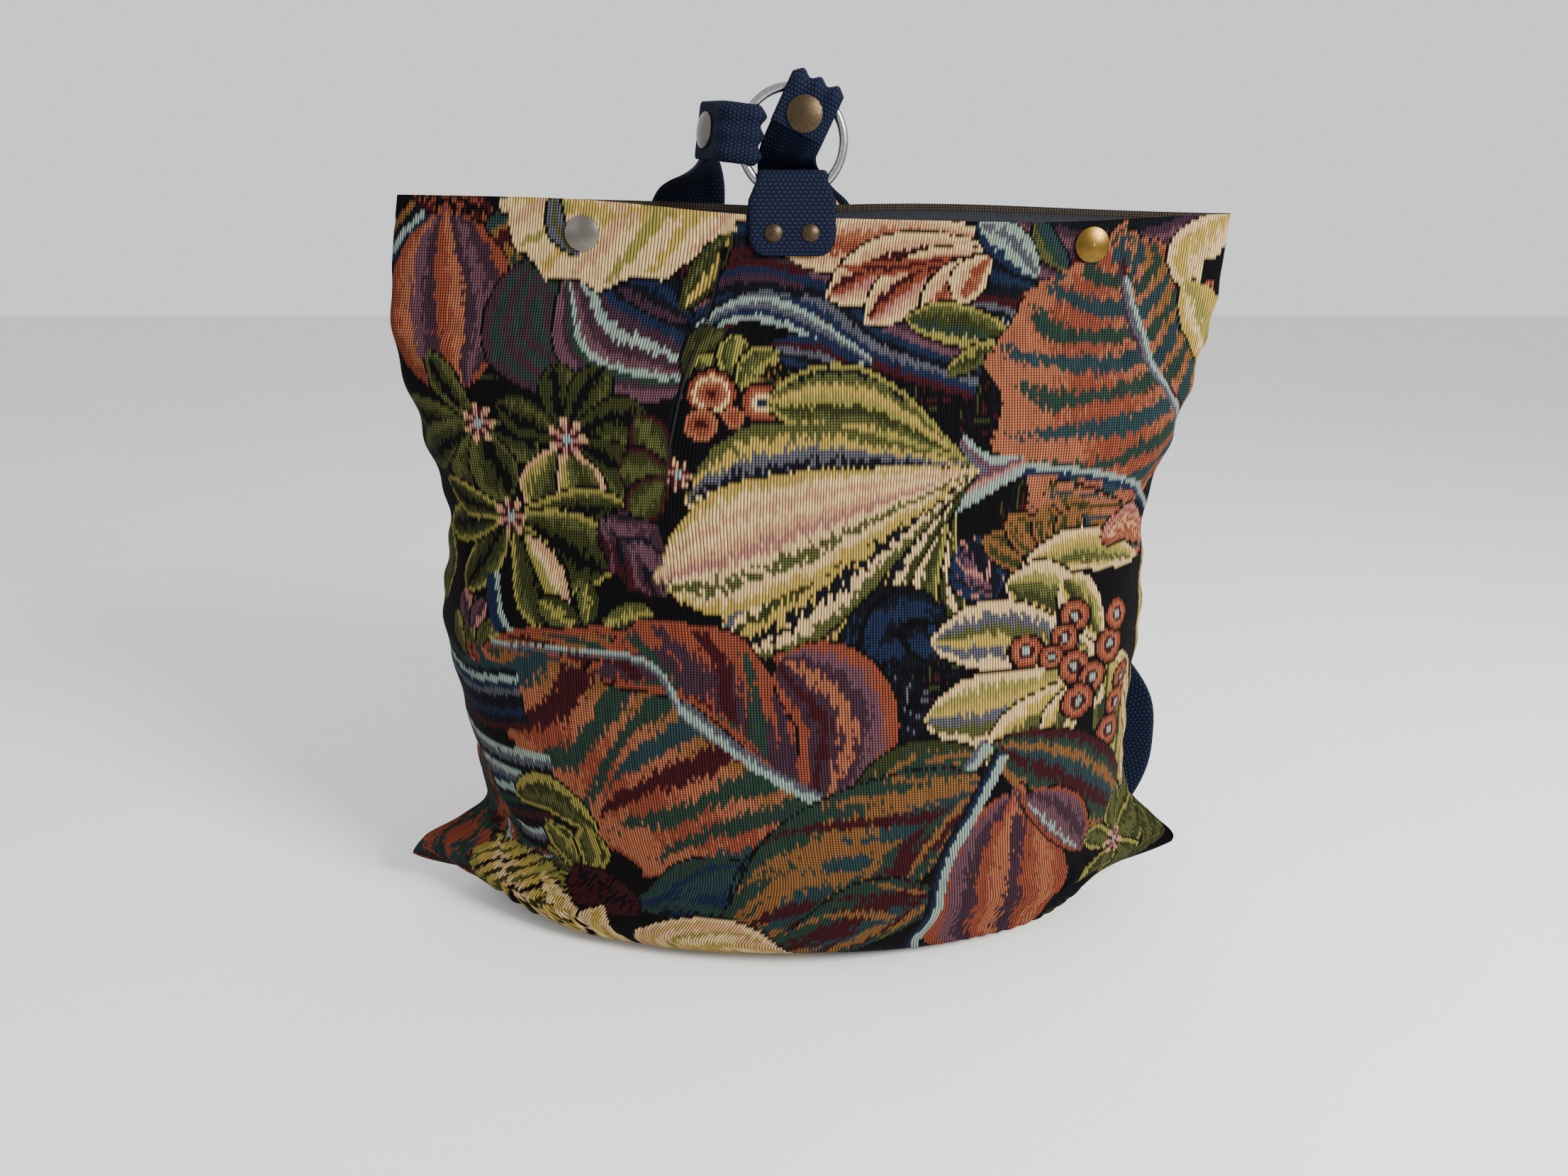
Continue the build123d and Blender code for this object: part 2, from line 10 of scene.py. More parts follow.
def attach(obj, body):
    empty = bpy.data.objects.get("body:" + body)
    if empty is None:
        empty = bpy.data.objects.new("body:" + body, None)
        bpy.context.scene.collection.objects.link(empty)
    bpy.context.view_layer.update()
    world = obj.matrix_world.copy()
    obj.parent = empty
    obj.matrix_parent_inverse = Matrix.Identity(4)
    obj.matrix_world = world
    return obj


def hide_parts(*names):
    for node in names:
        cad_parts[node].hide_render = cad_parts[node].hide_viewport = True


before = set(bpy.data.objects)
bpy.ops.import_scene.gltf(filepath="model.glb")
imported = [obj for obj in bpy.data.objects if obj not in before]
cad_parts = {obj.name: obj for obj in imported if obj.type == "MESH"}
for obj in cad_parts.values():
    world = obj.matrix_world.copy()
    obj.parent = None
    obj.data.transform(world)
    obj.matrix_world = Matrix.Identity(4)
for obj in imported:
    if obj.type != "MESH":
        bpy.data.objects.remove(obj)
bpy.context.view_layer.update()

mm = 0.001
print("frame loaded,", len(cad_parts), "nodes")


def linear(code):
    parts = [int(code[i:i + 2], 16) / 255 for i in (1, 3, 5)]
    return [p / 12.92 if p <= 0.04045 else ((p + 0.055) / 1.055) ** 2.4 for p in parts] + [1.0]


def addNode(tree, kind, sockets=None, **settings):
    node = tree.nodes.new("ShaderNode" + kind)
    for name, value in settings.items():
        setattr(node, name, value)
    for key, value in (sockets or {}).items():
        if isinstance(value, bpy.types.Node):
            value = value.outputs[0]
        if isinstance(value, bpy.types.NodeSocket):
            tree.links.new(value, node.inputs[key])
        else:
            node.inputs[key].default_value = value
    return node


def newMaterial(name):
    material = bpy.data.materials.new(name)
    material.use_nodes = True
    tree = material.node_tree
    tree.nodes.clear()
    return material, tree


def closeMaterial(material, tree, sockets):
    addNode(tree, "OutputMaterial", {"Surface": addNode(tree, "BsdfPrincipled", sockets)})
    return material


def waveOf(tree, value, pitch):
    # rounded ridges, one each pitch
    turn = addNode(tree, "Math", {0: value, 1: math.pi / pitch}, operation="MULTIPLY")
    sine = addNode(tree, "Math", {0: turn}, operation="SINE")
    return addNode(tree, "Math", {0: sine}, operation="ABSOLUTE")


# Sack shape: level sections from the floor up, the same as the solid has.
# Rows: height share, left reach, right reach, belly, pointed corner.
sack = {
    "height": 349.0, "halfWidth": 175.0, "frontBelly": 74.0, "backBelly": 66.0, "rimDepth": 16.0,
    "rimFall": 8.0,
    "rimDip": 6.0,  # the front rim sags this far
    "dipPlace": 42.0, "dipSpread": 122.0,
    "backWaves": ((1.6, 70.0, 70.0), (-1.2, -20.0, 40.0)),  # back rim: height, place, spread
    "rimFrom": 0.8,  # share of the height where the rim's waves begin
    "rimShare": 0.2, "rimEase": 1.5, "cloth": 1.5, "crownPower": 2.2, "flatWidth": 405.0,
    "crownEase": (0.55, 0.85),  # roundness of a section, and what a pointed corner adds
    "skinEdge": (2.0, 8.0),  # an inner layer's extra room at the seams, the same way
    "floorReach": 64.0,  # cloth between the bottom seam and the front edge of the base
    "edgeRound": 7.0,
    "tipLeft": 17.0,  # the corner tips stand this high
    "tipRight": 24.0,
    "earRise": 92.0,  # below this the rows run down into the corners
    "earGather": 7.0, "earEase": 1.25,
    "profile": (
        (0.000, 0.900, 0.960, 0.800, 0.24), (0.016, 1.040, 1.040, 0.900, 0.48),
        (0.045, 1.160, 1.110, 0.960, 1.00), (0.078, 1.120, 1.150, 0.980, 1.00),
        (0.115, 1.010, 1.090, 0.990, 0.65), (0.165, 0.935, 1.020, 1.000, 0.25),
        (0.230, 0.945, 0.990, 1.000, 0.05), (0.330, 0.975, 0.985, 0.970, 0.00),
        (0.450, 1.010, 1.000, 0.840, 0.00), (0.590, 0.975, 0.985, 0.600, 0.00),
        (0.710, 1.030, 1.050, 0.350, 0.00), (0.820, 1.060, 1.080, 0.120, 0.00),
        (0.900, 1.045, 1.100, 0.000, 0.00), (0.950, 1.030, 1.105, 0.000, 0.00),
        (1.000, 1.010, 1.110, 0.000, 0.00),
    ),
}
rimSpan = sack["halfWidth"] * (sack["profile"][-1][1] + sack["profile"][-1][2])
halfFlat = sack["flatWidth"] / 2


def easeRows(rows, steps):
    # a curve through the rows that doesn't overshoot them
    rows = np.array(rows, float)
    jumps = np.diff(rows, axis=0)
    slopes = np.zeros_like(rows)
    slopes[0], slopes[-1] = jumps[0], jumps[-1]
    low, high = jumps[:-1], jumps[1:]
    same = low * high > 0
    slopes[1:-1] = np.where(same, 2 * low * high / np.where(same, low + high, 1), 0)
    t = (np.arange(steps) / steps)[:, None]
    runs = []
    for row, jump, leave, reach in zip(rows, jumps, slopes, slopes[1:]):
        runs.append(row + jump * t * t * (3 - 2 * t) + leave * t * (1 - t) ** 2 - reach * t * t * (1 - t))
    return np.vstack(runs + [rows[-1:]])


levels = easeRows(sack["profile"], 12)


def sackPoint(side, across, z, skin=0.0):
    share = np.clip(z / sack["height"], 0, 1)
    left, right, belly, corner = [np.interp(share, levels[:, 0], levels[:, k]) for k in (1, 2, 3, 4)]
    room, ease = [plain + pointed * corner for plain, pointed in (sack["skinEdge"], sack["crownEase"])]
    reach = sack["halfWidth"] * np.where(across < 0, left, right) - skin * room
    full = sack["frontBelly"] if side < 0 else sack["backBelly"]
    depth = sack["rimDepth"] + (full - sack["rimDepth"]) * belly + sack["cloth"] - skin
    crown = np.maximum(1 - np.abs(across) ** sack["crownPower"], 0) ** ease
    return across * reach, side * depth * crown


tableHeights = np.linspace(0, sack["height"], 141)
tableAcross = np.linspace(-1, 1, 241)


def acrossTable(side):
    # at each height, the place across for an even share of the cloth's own width
    places = np.sin(np.linspace(-np.pi / 2, np.pi / 2, 321))
    rows = []
    for z in tableHeights:
        x, y = sackPoint(side, places, np.full_like(places, z))
        arc = np.concatenate([[0], np.cumsum(np.hypot(np.diff(x), np.diff(y)))])
        rows.append(np.interp(tableAcross, arc / arc[-1] * 2 - 1, places))
    return np.array(rows)


acrossTables = {-1: acrossTable(-1), 1: acrossTable(1)}


def sampleGrid(grid, a, b):
    # value of a grid at shares a down its rows and b along them
    rows, columns = grid.shape[0] - 1, grid.shape[1] - 1
    a, b = np.clip(a, 0, 1) * rows, np.clip(b, 0, 1) * columns
    i, j = np.minimum(a.astype(int), rows - 1), np.minimum(b.astype(int), columns - 1)
    a, b = a - i, b - j
    if grid.ndim == 3:
        a, b = a[..., None], b[..., None]
    top = grid[i, j] * (1 - b) + grid[i, j + 1] * b
    low = grid[i + 1, j] * (1 - b) + grid[i + 1, j + 1] * b
    return top * (1 - a) + low * a


def clothPoint(side, u, t, skin=0.0, floor=0.0, drop=0.0):
    # u: millimetres across the flat cloth, t: height on the face, or below 0 the way under the base
    across = u / halfFlat
    rise = (t + np.sqrt(t * t + sack["edgeRound"] ** 2)) / 2
    under = np.clip((rise - t) / sack["floorReach"], 0, 1)
    tip = np.where(u < 0, sack["tipLeft"], sack["tipRight"])
    climb = np.clip((t + sack["floorReach"]) / (sack["earRise"] + sack["floorReach"]), 0, 1)
    climb = climb ** sack["earEase"]
    seam = np.where(t < sack["earRise"], tip + (sack["earRise"] - tip) * climb, t)
    z = rise + (seam - rise) * np.abs(across) ** sack["earGather"]
    spot = sampleGrid(acrossTables[side], z / sack["height"], (across + 1) / 2)
    x, y = sackPoint(side, spot, z, skin)
    share = np.clip((z / sack["height"] - sack["rimFrom"]) / sack["rimShare"], 0, 1)
    ease = share ** sack["rimEase"]
    if side < 0:
        z = z - sack["rimDip"] * np.exp(-((u - sack["dipPlace"]) / sack["dipSpread"]) ** 4) * ease
    else:
        z = z + sum(h * np.exp(-((u - place) / spread) ** 2) for h, place, spread in sack["backWaves"]) * ease
    z = floor + z * (sack["height"] - drop - floor) / sack["height"]
    return np.stack([x, y * (1 - under), z - x * share * sack["rimFall"] / rimSpan], axis=-1)


def latticeNormals(points, side):
    normal = np.cross(np.gradient(points, axis=1), np.gradient(points, axis=0))
    normal /= np.maximum(np.linalg.norm(normal, axis=-1, keepdims=True), 1e-9)
    return -side * normal * np.sign(np.median(-normal[..., 1]))


lowEdge = -sack["floorReach"]
clothRun = sack["height"] + sack["floorReach"]


def latticeOf(columns, rows):
    u = np.linspace(-halfFlat, halfFlat, columns + 1)
    t = np.linspace(lowEdge, sack["height"], rows + 1)
    return np.meshgrid(u, t)


def gridMesh(bm, columns, rows):
    made = bmesh.ops.create_grid(bm, x_segments=columns, y_segments=rows, size=1.0)
    return made["verts"]


def moveVerts(verts, points):
    for vert, spot in zip(verts, points.reshape(-1, 3)):
        vert.co = Vector(spot) * mm


def closeMesh(bm, name):
    mesh = bpy.data.meshes.new(name)
    bm.to_mesh(mesh)
    bm.free()
    return mesh


def newObject(name, data):
    made = bpy.data.objects.new(name, data)
    bpy.context.scene.collection.objects.link(made)
    return made


def newPiece(name, mesh, material, node):
    piece = newObject(name, mesh)
    mesh.materials.append(material)
    for polygon in mesh.polygons:
        polygon.use_smooth = True
    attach(piece, "bag")
    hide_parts(node)
    return piece


def thicken(piece, thickness, offset):
    wall = piece.modifiers.new("wall", "SOLIDIFY")
    wall.thickness = thickness * mm
    wall.offset = offset


def runLength(places):
    # length along a line, at each of its places
    return np.concatenate([[0], np.cumsum(np.linalg.norm(np.diff(places, axis=0), axis=1))])


def curveAt(places, slope, i, f, span=1.0):
    # smooth line between places, f of the way from place i to the next
    leaving = places[i] * (1 + 2 * f) * (1 - f) ** 2 + slope[i] * span * f * (1 - f) ** 2
    return leaving + places[i + 1] * f * f * (3 - 2 * f) - slope[i + 1] * span * f * f * (1 - f)


# Stuffed sack: both panels sewn at sides and bottom, let swell and pucker by cloth simulation.
swell = {
    "columns": 58, "rows": 62, "frames": 22,
    "hold": 0.06,  # how strongly a point keeps its place
    "rimBand": 34.0,  # held still below the rim
    "rimEase": 30.0,
    "sideReach": 38.0,  # spare cloth beside the side seams
    "baseShare": 0.6,  # and along the base
    "basePlace": 8.0, "baseReach": 30.0, "cap": 5.0, "weld": 0.2,
    "cloth": {
        "quality": 6, "mass": 0.25, "air_damping": 4, "tension_stiffness": 12, "compression_stiffness": 12,
        "shear_stiffness": 4, "bending_stiffness": 0.35, "vertex_group_mass": "hold", "pin_stiffness": 1.0,
        "vertex_group_shrink": "spare", "use_pressure": True, "uniform_pressure_force": 2.0,
        "shrink_min": -0.012, "shrink_max": -0.07,  # spare cloth, share of length
    },
}


def swellSack():
    u, t = latticeOf(swell["columns"], swell["rows"])
    spots = {side: clothPoint(side, u, t) for side in (-1, 1)}
    bm = bmesh.new()
    for side in (-1, 1):
        moveVerts(gridMesh(bm, swell["columns"], swell["rows"]), spots[side])
    bmesh.ops.remove_doubles(bm, verts=bm.verts, dist=swell["weld"] * mm)
    bmesh.ops.recalc_face_normals(bm, faces=bm.faces)
    mesh = closeMesh(bm, "swellTrial")
    trial = newObject("swellTrial", mesh)
    start = np.array([v.co for v in mesh.vertices])
    tree = KDTree(len(start))
    for index, co in enumerate(start):
        tree.insert(co, index)
    tree.balance()
    where = {s: np.array([tree.find(Vector(p) * mm)[1] for p in spots[s].reshape(-1, 3)]) for s in spots}
    held, spare = np.zeros(len(start)), np.zeros(len(start))
    nearSide = halfFlat - np.abs(u)
    rimNear = np.clip((t - sack["height"] + swell["rimBand"] + swell["rimEase"]) / swell["rimEase"], 0, 1)
    base = swell["baseShare"] * np.exp(-np.abs(t - swell["basePlace"]) / swell["baseReach"])
    edge = np.exp(-nearSide / swell["sideReach"]) + base
    for side in (-1, 1):
        held[where[side]] = np.maximum(swell["hold"], rimNear).ravel()
        spare[where[side]] = np.clip(edge * (1 - rimNear), 0, 1).ravel()
    for name, weights in (("hold", held), ("spare", spare)):
        group = trial.vertex_groups.new(name=name)
        for index, weight in enumerate(weights):
            group.add([index], float(weight), "REPLACE")
    cloth = trial.modifiers.new("swell", "CLOTH").settings
    for name, value in swell["cloth"].items():
        setattr(cloth, name, value)
    cloth.effector_weights.gravity = 0.0
    scene = bpy.context.scene
    for step in range(1, swell["frames"] + 1):
        scene.frame_set(step)
    shown = trial.evaluated_get(bpy.context.evaluated_depsgraph_get())
    moved = np.array([v.co for v in shown.data.vertices]) - start
    scene.frame_set(1)
    bpy.data.objects.remove(trial)
    length = np.linalg.norm(moved, axis=1, keepdims=True) / mm
    moved = moved / mm * np.minimum(1, swell["cap"] / np.maximum(length, 1e-6))
    print("sack swelled, furthest %.1f mm, mean %.2f mm" % (length.max(), length.mean()))
    return {s: moved[where[s]].reshape(spots[s].shape) for s in spots}


def finer(values, columns, rows):
    # cubic curves through a coarse grid's values, on a finer grid
    def weights(coarse, fine):
        at = np.linspace(0, coarse, fine + 1)
        i = np.minimum(at.astype(int), coarse - 1)
        f = at - i
        table = np.zeros((fine + 1, coarse + 1))
        steps = (
            -f + 2 * f ** 2 - f ** 3,
            2 - 5 * f ** 2 + 3 * f ** 3,
            f + 4 * f ** 2 - 3 * f ** 3,
            f ** 3 - f ** 2,
        )
        for k, step in enumerate(steps):
            np.add.at(table, (np.arange(fine + 1), np.clip(i + k - 1, 0, coarse)), step / 2)
        return table
    down = weights(values.shape[0] - 1, rows)
    along = weights(values.shape[1] - 1, columns)
    return np.einsum("ai,ijc,bj->abc", down, values, along)


# Puckers: lengths in millimetres, heights outwards from the cloth.
puckers = {
    "turn": 1.7,  # the right side's waves run this far ahead of the left's
    "crimp": 0.9,  # beside the side seams
    "crimpReach": 15.0, "crimpStep": 24.0, "crimpWander": (5.0, 29.0), "crimpFrom": 40.0,
    "crimpTo": 330.0, "crimpEase": 40.0,
    "gatherLeft": 3.6,  # ridges at the base, by the corners
    "gatherRight": 1.3, "gatherStep": 9.0, "gatherSlant": 0.45, "gatherWander": (2.5, 9.0, 17.0),
    "gatherUp": (8.0, 28.0),  # place and spread
    "gatherOut": (126.0, 38.0), "gatherRound": 0.8, "gatherSink": 0.6,
    "fold": 1.5,  # soft folds running into the corner tips
    "foldReach": 42.0, "foldUp": (30.0, 42.0), "foldStep": 21.0, "foldSlant": (0.6, 0.5),
    "foldSeam": 14.0,
    "hem": -0.45,  # the hem's stitch line
    "hemBelow": 11.0, "hemWidth": 1.8,
}


def creases(side, u, t):
    # crimps beside the seams, gathers at the corners and the hem's stitch line, millimetres outwards
    p = puckers
    d = halfFlat - np.abs(u)
    turn = np.where(u < 0, 0.0, p["turn"])
    above, below = (t - p["crimpFrom"]) / p["crimpEase"], (p["crimpTo"] - t) / p["crimpEase"]
    window = np.clip(above, 0, 1) * np.clip(below, 0, 1)
    run = t + p["crimpWander"][0] * np.sin(t / p["crimpWander"][1] + turn)
    wave = np.sin(2 * np.pi * run / p["crimpStep"] + turn)
    crimp = p["crimp"] * np.exp(-d / p["crimpReach"]) * wave * window
    (up, tall), (out, wide) = p["gatherUp"], p["gatherOut"]
    base = np.exp(-((t - up) / tall) ** 2) * np.exp(-((np.abs(u) - out) / wide) ** 4)
    sway, along, across = p["gatherWander"]
    ridge = u - p["gatherSlant"] * t + sway * np.sin(t / along + u / across)
    ridge = np.abs(np.sin(np.pi * ridge / p["gatherStep"])) ** p["gatherRound"] - p["gatherSink"]
    gather = np.where(u < 0, p["gatherLeft"], p["gatherRight"]) * base * ridge
    up, tall = p["foldUp"]
    seam = np.clip(np.minimum(d, t - lowEdge) / p["foldSeam"], 0, 1)
    ear = np.exp(-d / p["foldReach"]) * np.exp(-((t - up) / tall) ** 2) * seam
    run = t * p["foldSlant"][0] + d * p["foldSlant"][1]
    fold = p["fold"] * ear * np.sin(2 * np.pi * run / p["foldStep"] + turn + side)
    hem = p["hem"] * np.exp(-((t - sack["height"] + p["hemBelow"]) / p["hemWidth"]) ** 2)
    return crimp + gather + fold + hem


dense = {
    "columns": 312,  # a column is one cord of the weave, 1.3 mm
    "rows": 236, "floor": 0.15,
    "apart": 0.3,  # between front and back where they would cross
    "wallShare": 0.45, "wallLeast": 0.05,
}
moves = swellSack()
skins = {}
for side in (-1, 1):
    u, t = latticeOf(dense["columns"], dense["rows"])
    points = clothPoint(side, u, t) + finer(moves[side], dense["columns"], dense["rows"])
    points += latticeNormals(points, side) * creases(side, u, t)[..., None]
    points[..., 2] = np.maximum(points[..., 2], dense["floor"])
    skins[side] = points
# front and back never pass through each other
cross = np.maximum(skins[-1][..., 1] - skins[1][..., 1] + dense["apart"], 0) / 2
for side in (-1, 1):
    skins[side][..., 1] += side * cross
    skins[side] = (skins[side], latticeNormals(skins[side], side))
# the cloth's thickness gives way where front and back meet at the seams
gapGrid = np.linalg.norm(skins[-1][0] - skins[1][0], axis=-1)
wallGrid = np.clip(dense["wallShare"] * gapGrid, dense["wallLeast"], sack["cloth"])
print("sack shape ready")


def onSkin(side, u, t, lift=0.0):
    points, normals = skins[side]
    a, b = (t - lowEdge) / clothRun, (u + halfFlat) / sack["flatWidth"]
    return sampleGrid(points, a, b) + sampleGrid(normals, a, b) * np.asarray(lift)[..., None]


# Woven pattern: leaves, flowers, berries and stems, placed one by one in millimetres on the flat panel.
yarns = {
    "ground": "#070608", "night": "#0d0f16", "coral": "#753826", "salmon": "#8a5036", "ochre": "#6e4926",
    "plum": "#35212b", "mauve": "#553840", "maroon": "#330f14", "green": "#203128", "teal": "#203235",
    "olive": "#2c2f15", "moss": "#454724", "lime": "#726a31", "yellow": "#8f7837", "cream": "#b19568",
    "peach": "#9f7856", "mint": "#707f75", "blue": "#162036", "grey": "#494950", "rose": "#885a50",
}
cordYarns = "cream peach yellow mint rose lime".split()  # these stand up as whole cords
weave = {
    "dash": 4,  # rows that one dash of yarn covers
    "speckle": 0.4,  # share of the shading that isn't in dashes
    "outline": 1.2,  # black line round a leaf, mm
    "outlineFrom": 1.5,
    "edge": 1.2,  # a leaf's coloured edge, and how ragged it is
    "edgeRagged": 1.8, "berryFlat": 0.85, "starPoints": 7,
}


def spineOf(points, count=60):
    # smooth line through two to five places
    points = np.array(points, float)
    if len(points) == 2:
        return points[0] + (points[1] - points[0]) * np.linspace(0, 1, count)[:, None]
    slope = np.gradient(points, axis=0)
    s = np.linspace(0, len(points) - 1, count)
    i = np.minimum(s.astype(int), len(points) - 2)
    f = (s - i)[:, None]
    return curveAt(points, slope, i, f)


class Loom:
    # one panel's cells, and the yarn that shows in each
    def __init__(self, u, t, seed):
        self.u, self.t = u, t
        self.yarn = np.zeros(u.shape, int)
        self.names = list(yarns)
        self.shift = (0.0, 0.0)
        draw = np.random.default_rng(seed)
        rows, columns = np.indices(u.shape)
        dash, speckle = weave["dash"], weave["speckle"]
        starts = draw.integers(0, dash, u.shape[1])
        dashes = draw.random((u.shape[0] // dash + 2, u.shape[1]))[(rows + starts[columns]) // dash, columns]
        # shading is by upright dashes of yarn
        self.chance = speckle * draw.random(u.shape) + (1 - speckle) * dashes

    def near(self, spine, width):
        line = spineOf(spine) + np.array(self.shift)
        low, high = line.min(0) - width, line.max(0) + width
        pick = (self.u > low[0]) & (self.u < high[0]) & (self.t > low[1]) & (self.t < high[1])
        u, t = self.u[pick], self.t[pick]
        gaps = (u[:, None] - line[None, :, 0]) ** 2 + (t[:, None] - line[None, :, 1]) ** 2
        best = np.argmin(gaps, axis=1) if len(u) else np.zeros(0, int)
        ahead = np.gradient(line, axis=0)[best]
        du, dt = u - line[best, 0], t - line[best, 1]
        sign = np.sign(ahead[:, 0] * dt - ahead[:, 1] * du)
        return pick, best / (len(line) - 1), sign * np.hypot(du, dt), self.chance[pick]

    def lay(self, pick, inside, names, index=None):
        codes = np.array([self.names.index(name) for name in names])
        index = np.zeros(len(inside), int) if index is None else index
        self.yarn.flat[np.flatnonzero(pick)[inside]] = codes[index[inside]]

    def leaf(self, spine, width, stripes, veins=0.0, vein="green", share=0.42, sweep=2.2, edge=None,
             scallop=0.0, lobes=6.0, fat=0.5, blunt=0.6, blur=1.1, reach=0.96, outline=True):
        # width is left and right of the spine; stripes run from root to tip; veins sweep out from the middle
        stripes, vein = stripes.split(), vein.split()
        left, right = width if isinstance(width, tuple) else (width, width)
        pick, s, d, chance = self.near(spine, max(left, right) + 2)
        bow = np.sin(np.pi * np.clip(s, 0.004, 0.996) ** (math.log(0.5) / math.log(fat))) ** blunt
        wave = 1 - scallop * np.abs(np.cos(np.pi * lobes * s + np.where(d > 0, 0.0, 0.9)))
        half = np.maximum(np.where(d > 0, left, right) * bow * wave, 0.01)
        r = np.abs(d) / half
        inside = r < 1
        names = stripes + vein + [edge or stripes[0]]
        count = len(stripes)
        across = (0.5 - 0.5 * d / half) * count + blur * (chance - 0.5)
        index = np.clip(across.astype(int), 0, count - 1)
        if veins:
            phase = s * veins - sweep * r ** 1.25 + 0.3 * (chance - 0.5) + np.where(d > 0, 0.0, 0.4)
            which = count + np.floor(phase).astype(int) % len(vein)
            shown = (phase % 1 < share * (1.25 - 0.6 * r)) & (r + 0.35 * (chance - 0.5) < reach)
            index = np.where(shown, which, index)
        if edge:
            rim = weave["edge"] + weave["edgeRagged"] * chance
            index = np.where(half - np.abs(d) < rim, len(names) - 1, index)
        if outline:
            rim = (np.abs(d) - half < weave["outline"]) & (half > weave["outlineFrom"])
            self.lay(pick, ~inside & rim, ["ground"])
        self.lay(pick, inside, names, index)

    def fan(self, root, tips, stripes, **more):
        # petals from one root: tip place, half width, and how far its middle bows to the left
        more = dict({"fat": 0.6}, **more)
        for u, t, half, bow in tips:
            way = np.array([u - root[0], t - root[1]], float)
            middle = np.array(root) + way * 0.55 + np.array([-way[1], way[0]]) / np.hypot(*way) * bow
            self.leaf([root, tuple(middle), (u, t)], half, stripes, **more)

    def band(self, spine, width, stripes, taper=0.0):
        # a stem or ribbon, striped from left to right
        stripes = stripes.split()
        pick, s, d, chance = self.near(spine, width + 2)
        half = np.maximum(width * (1 - taper * np.abs(2 * s - 1) ** 2), 0.01)
        inside = (np.abs(d) < half) & (s > 0.002) & (s < 0.998)
        at = (0.5 - 0.5 * d / half) * len(stripes) + 0.6 * (chance - 0.5)
        self.lay(pick, inside, stripes, np.clip(at.astype(int), 0, len(stripes) - 1))

    def berry(self, u, t, size, rings):
        rings = rings.split()
        r = np.hypot(self.u - u - self.shift[0], (self.t - t - self.shift[1]) / weave["berryFlat"]) / size
        pick = r < weave["outline"]
        r = r[pick]
        index = np.clip((r * len(rings) + 0.3 * (self.chance[pick] - 0.5)).astype(int), 0, len(rings) - 1)
        self.lay(pick, r >= 1, ["ground"])
        self.lay(pick, r < 1, rings, index)

    def star(self, u, t, size):
        du, dt = self.u - u - self.shift[0], self.t - t - self.shift[1]
        spoke = np.cos(np.arctan2(dt, du) * weave["starPoints"])
        r = np.hypot(du, dt) / (size * (0.82 + 0.2 * spoke))
        pick = r < 1
        r, spoke = r[pick], spoke[pick] > 0
        index = np.where(r < 0.3, 2, np.where(spoke, np.where(r < 0.7, 3, 0), 1))
        self.lay(pick, r < 1, "peach maroon mint rose".split(), index)


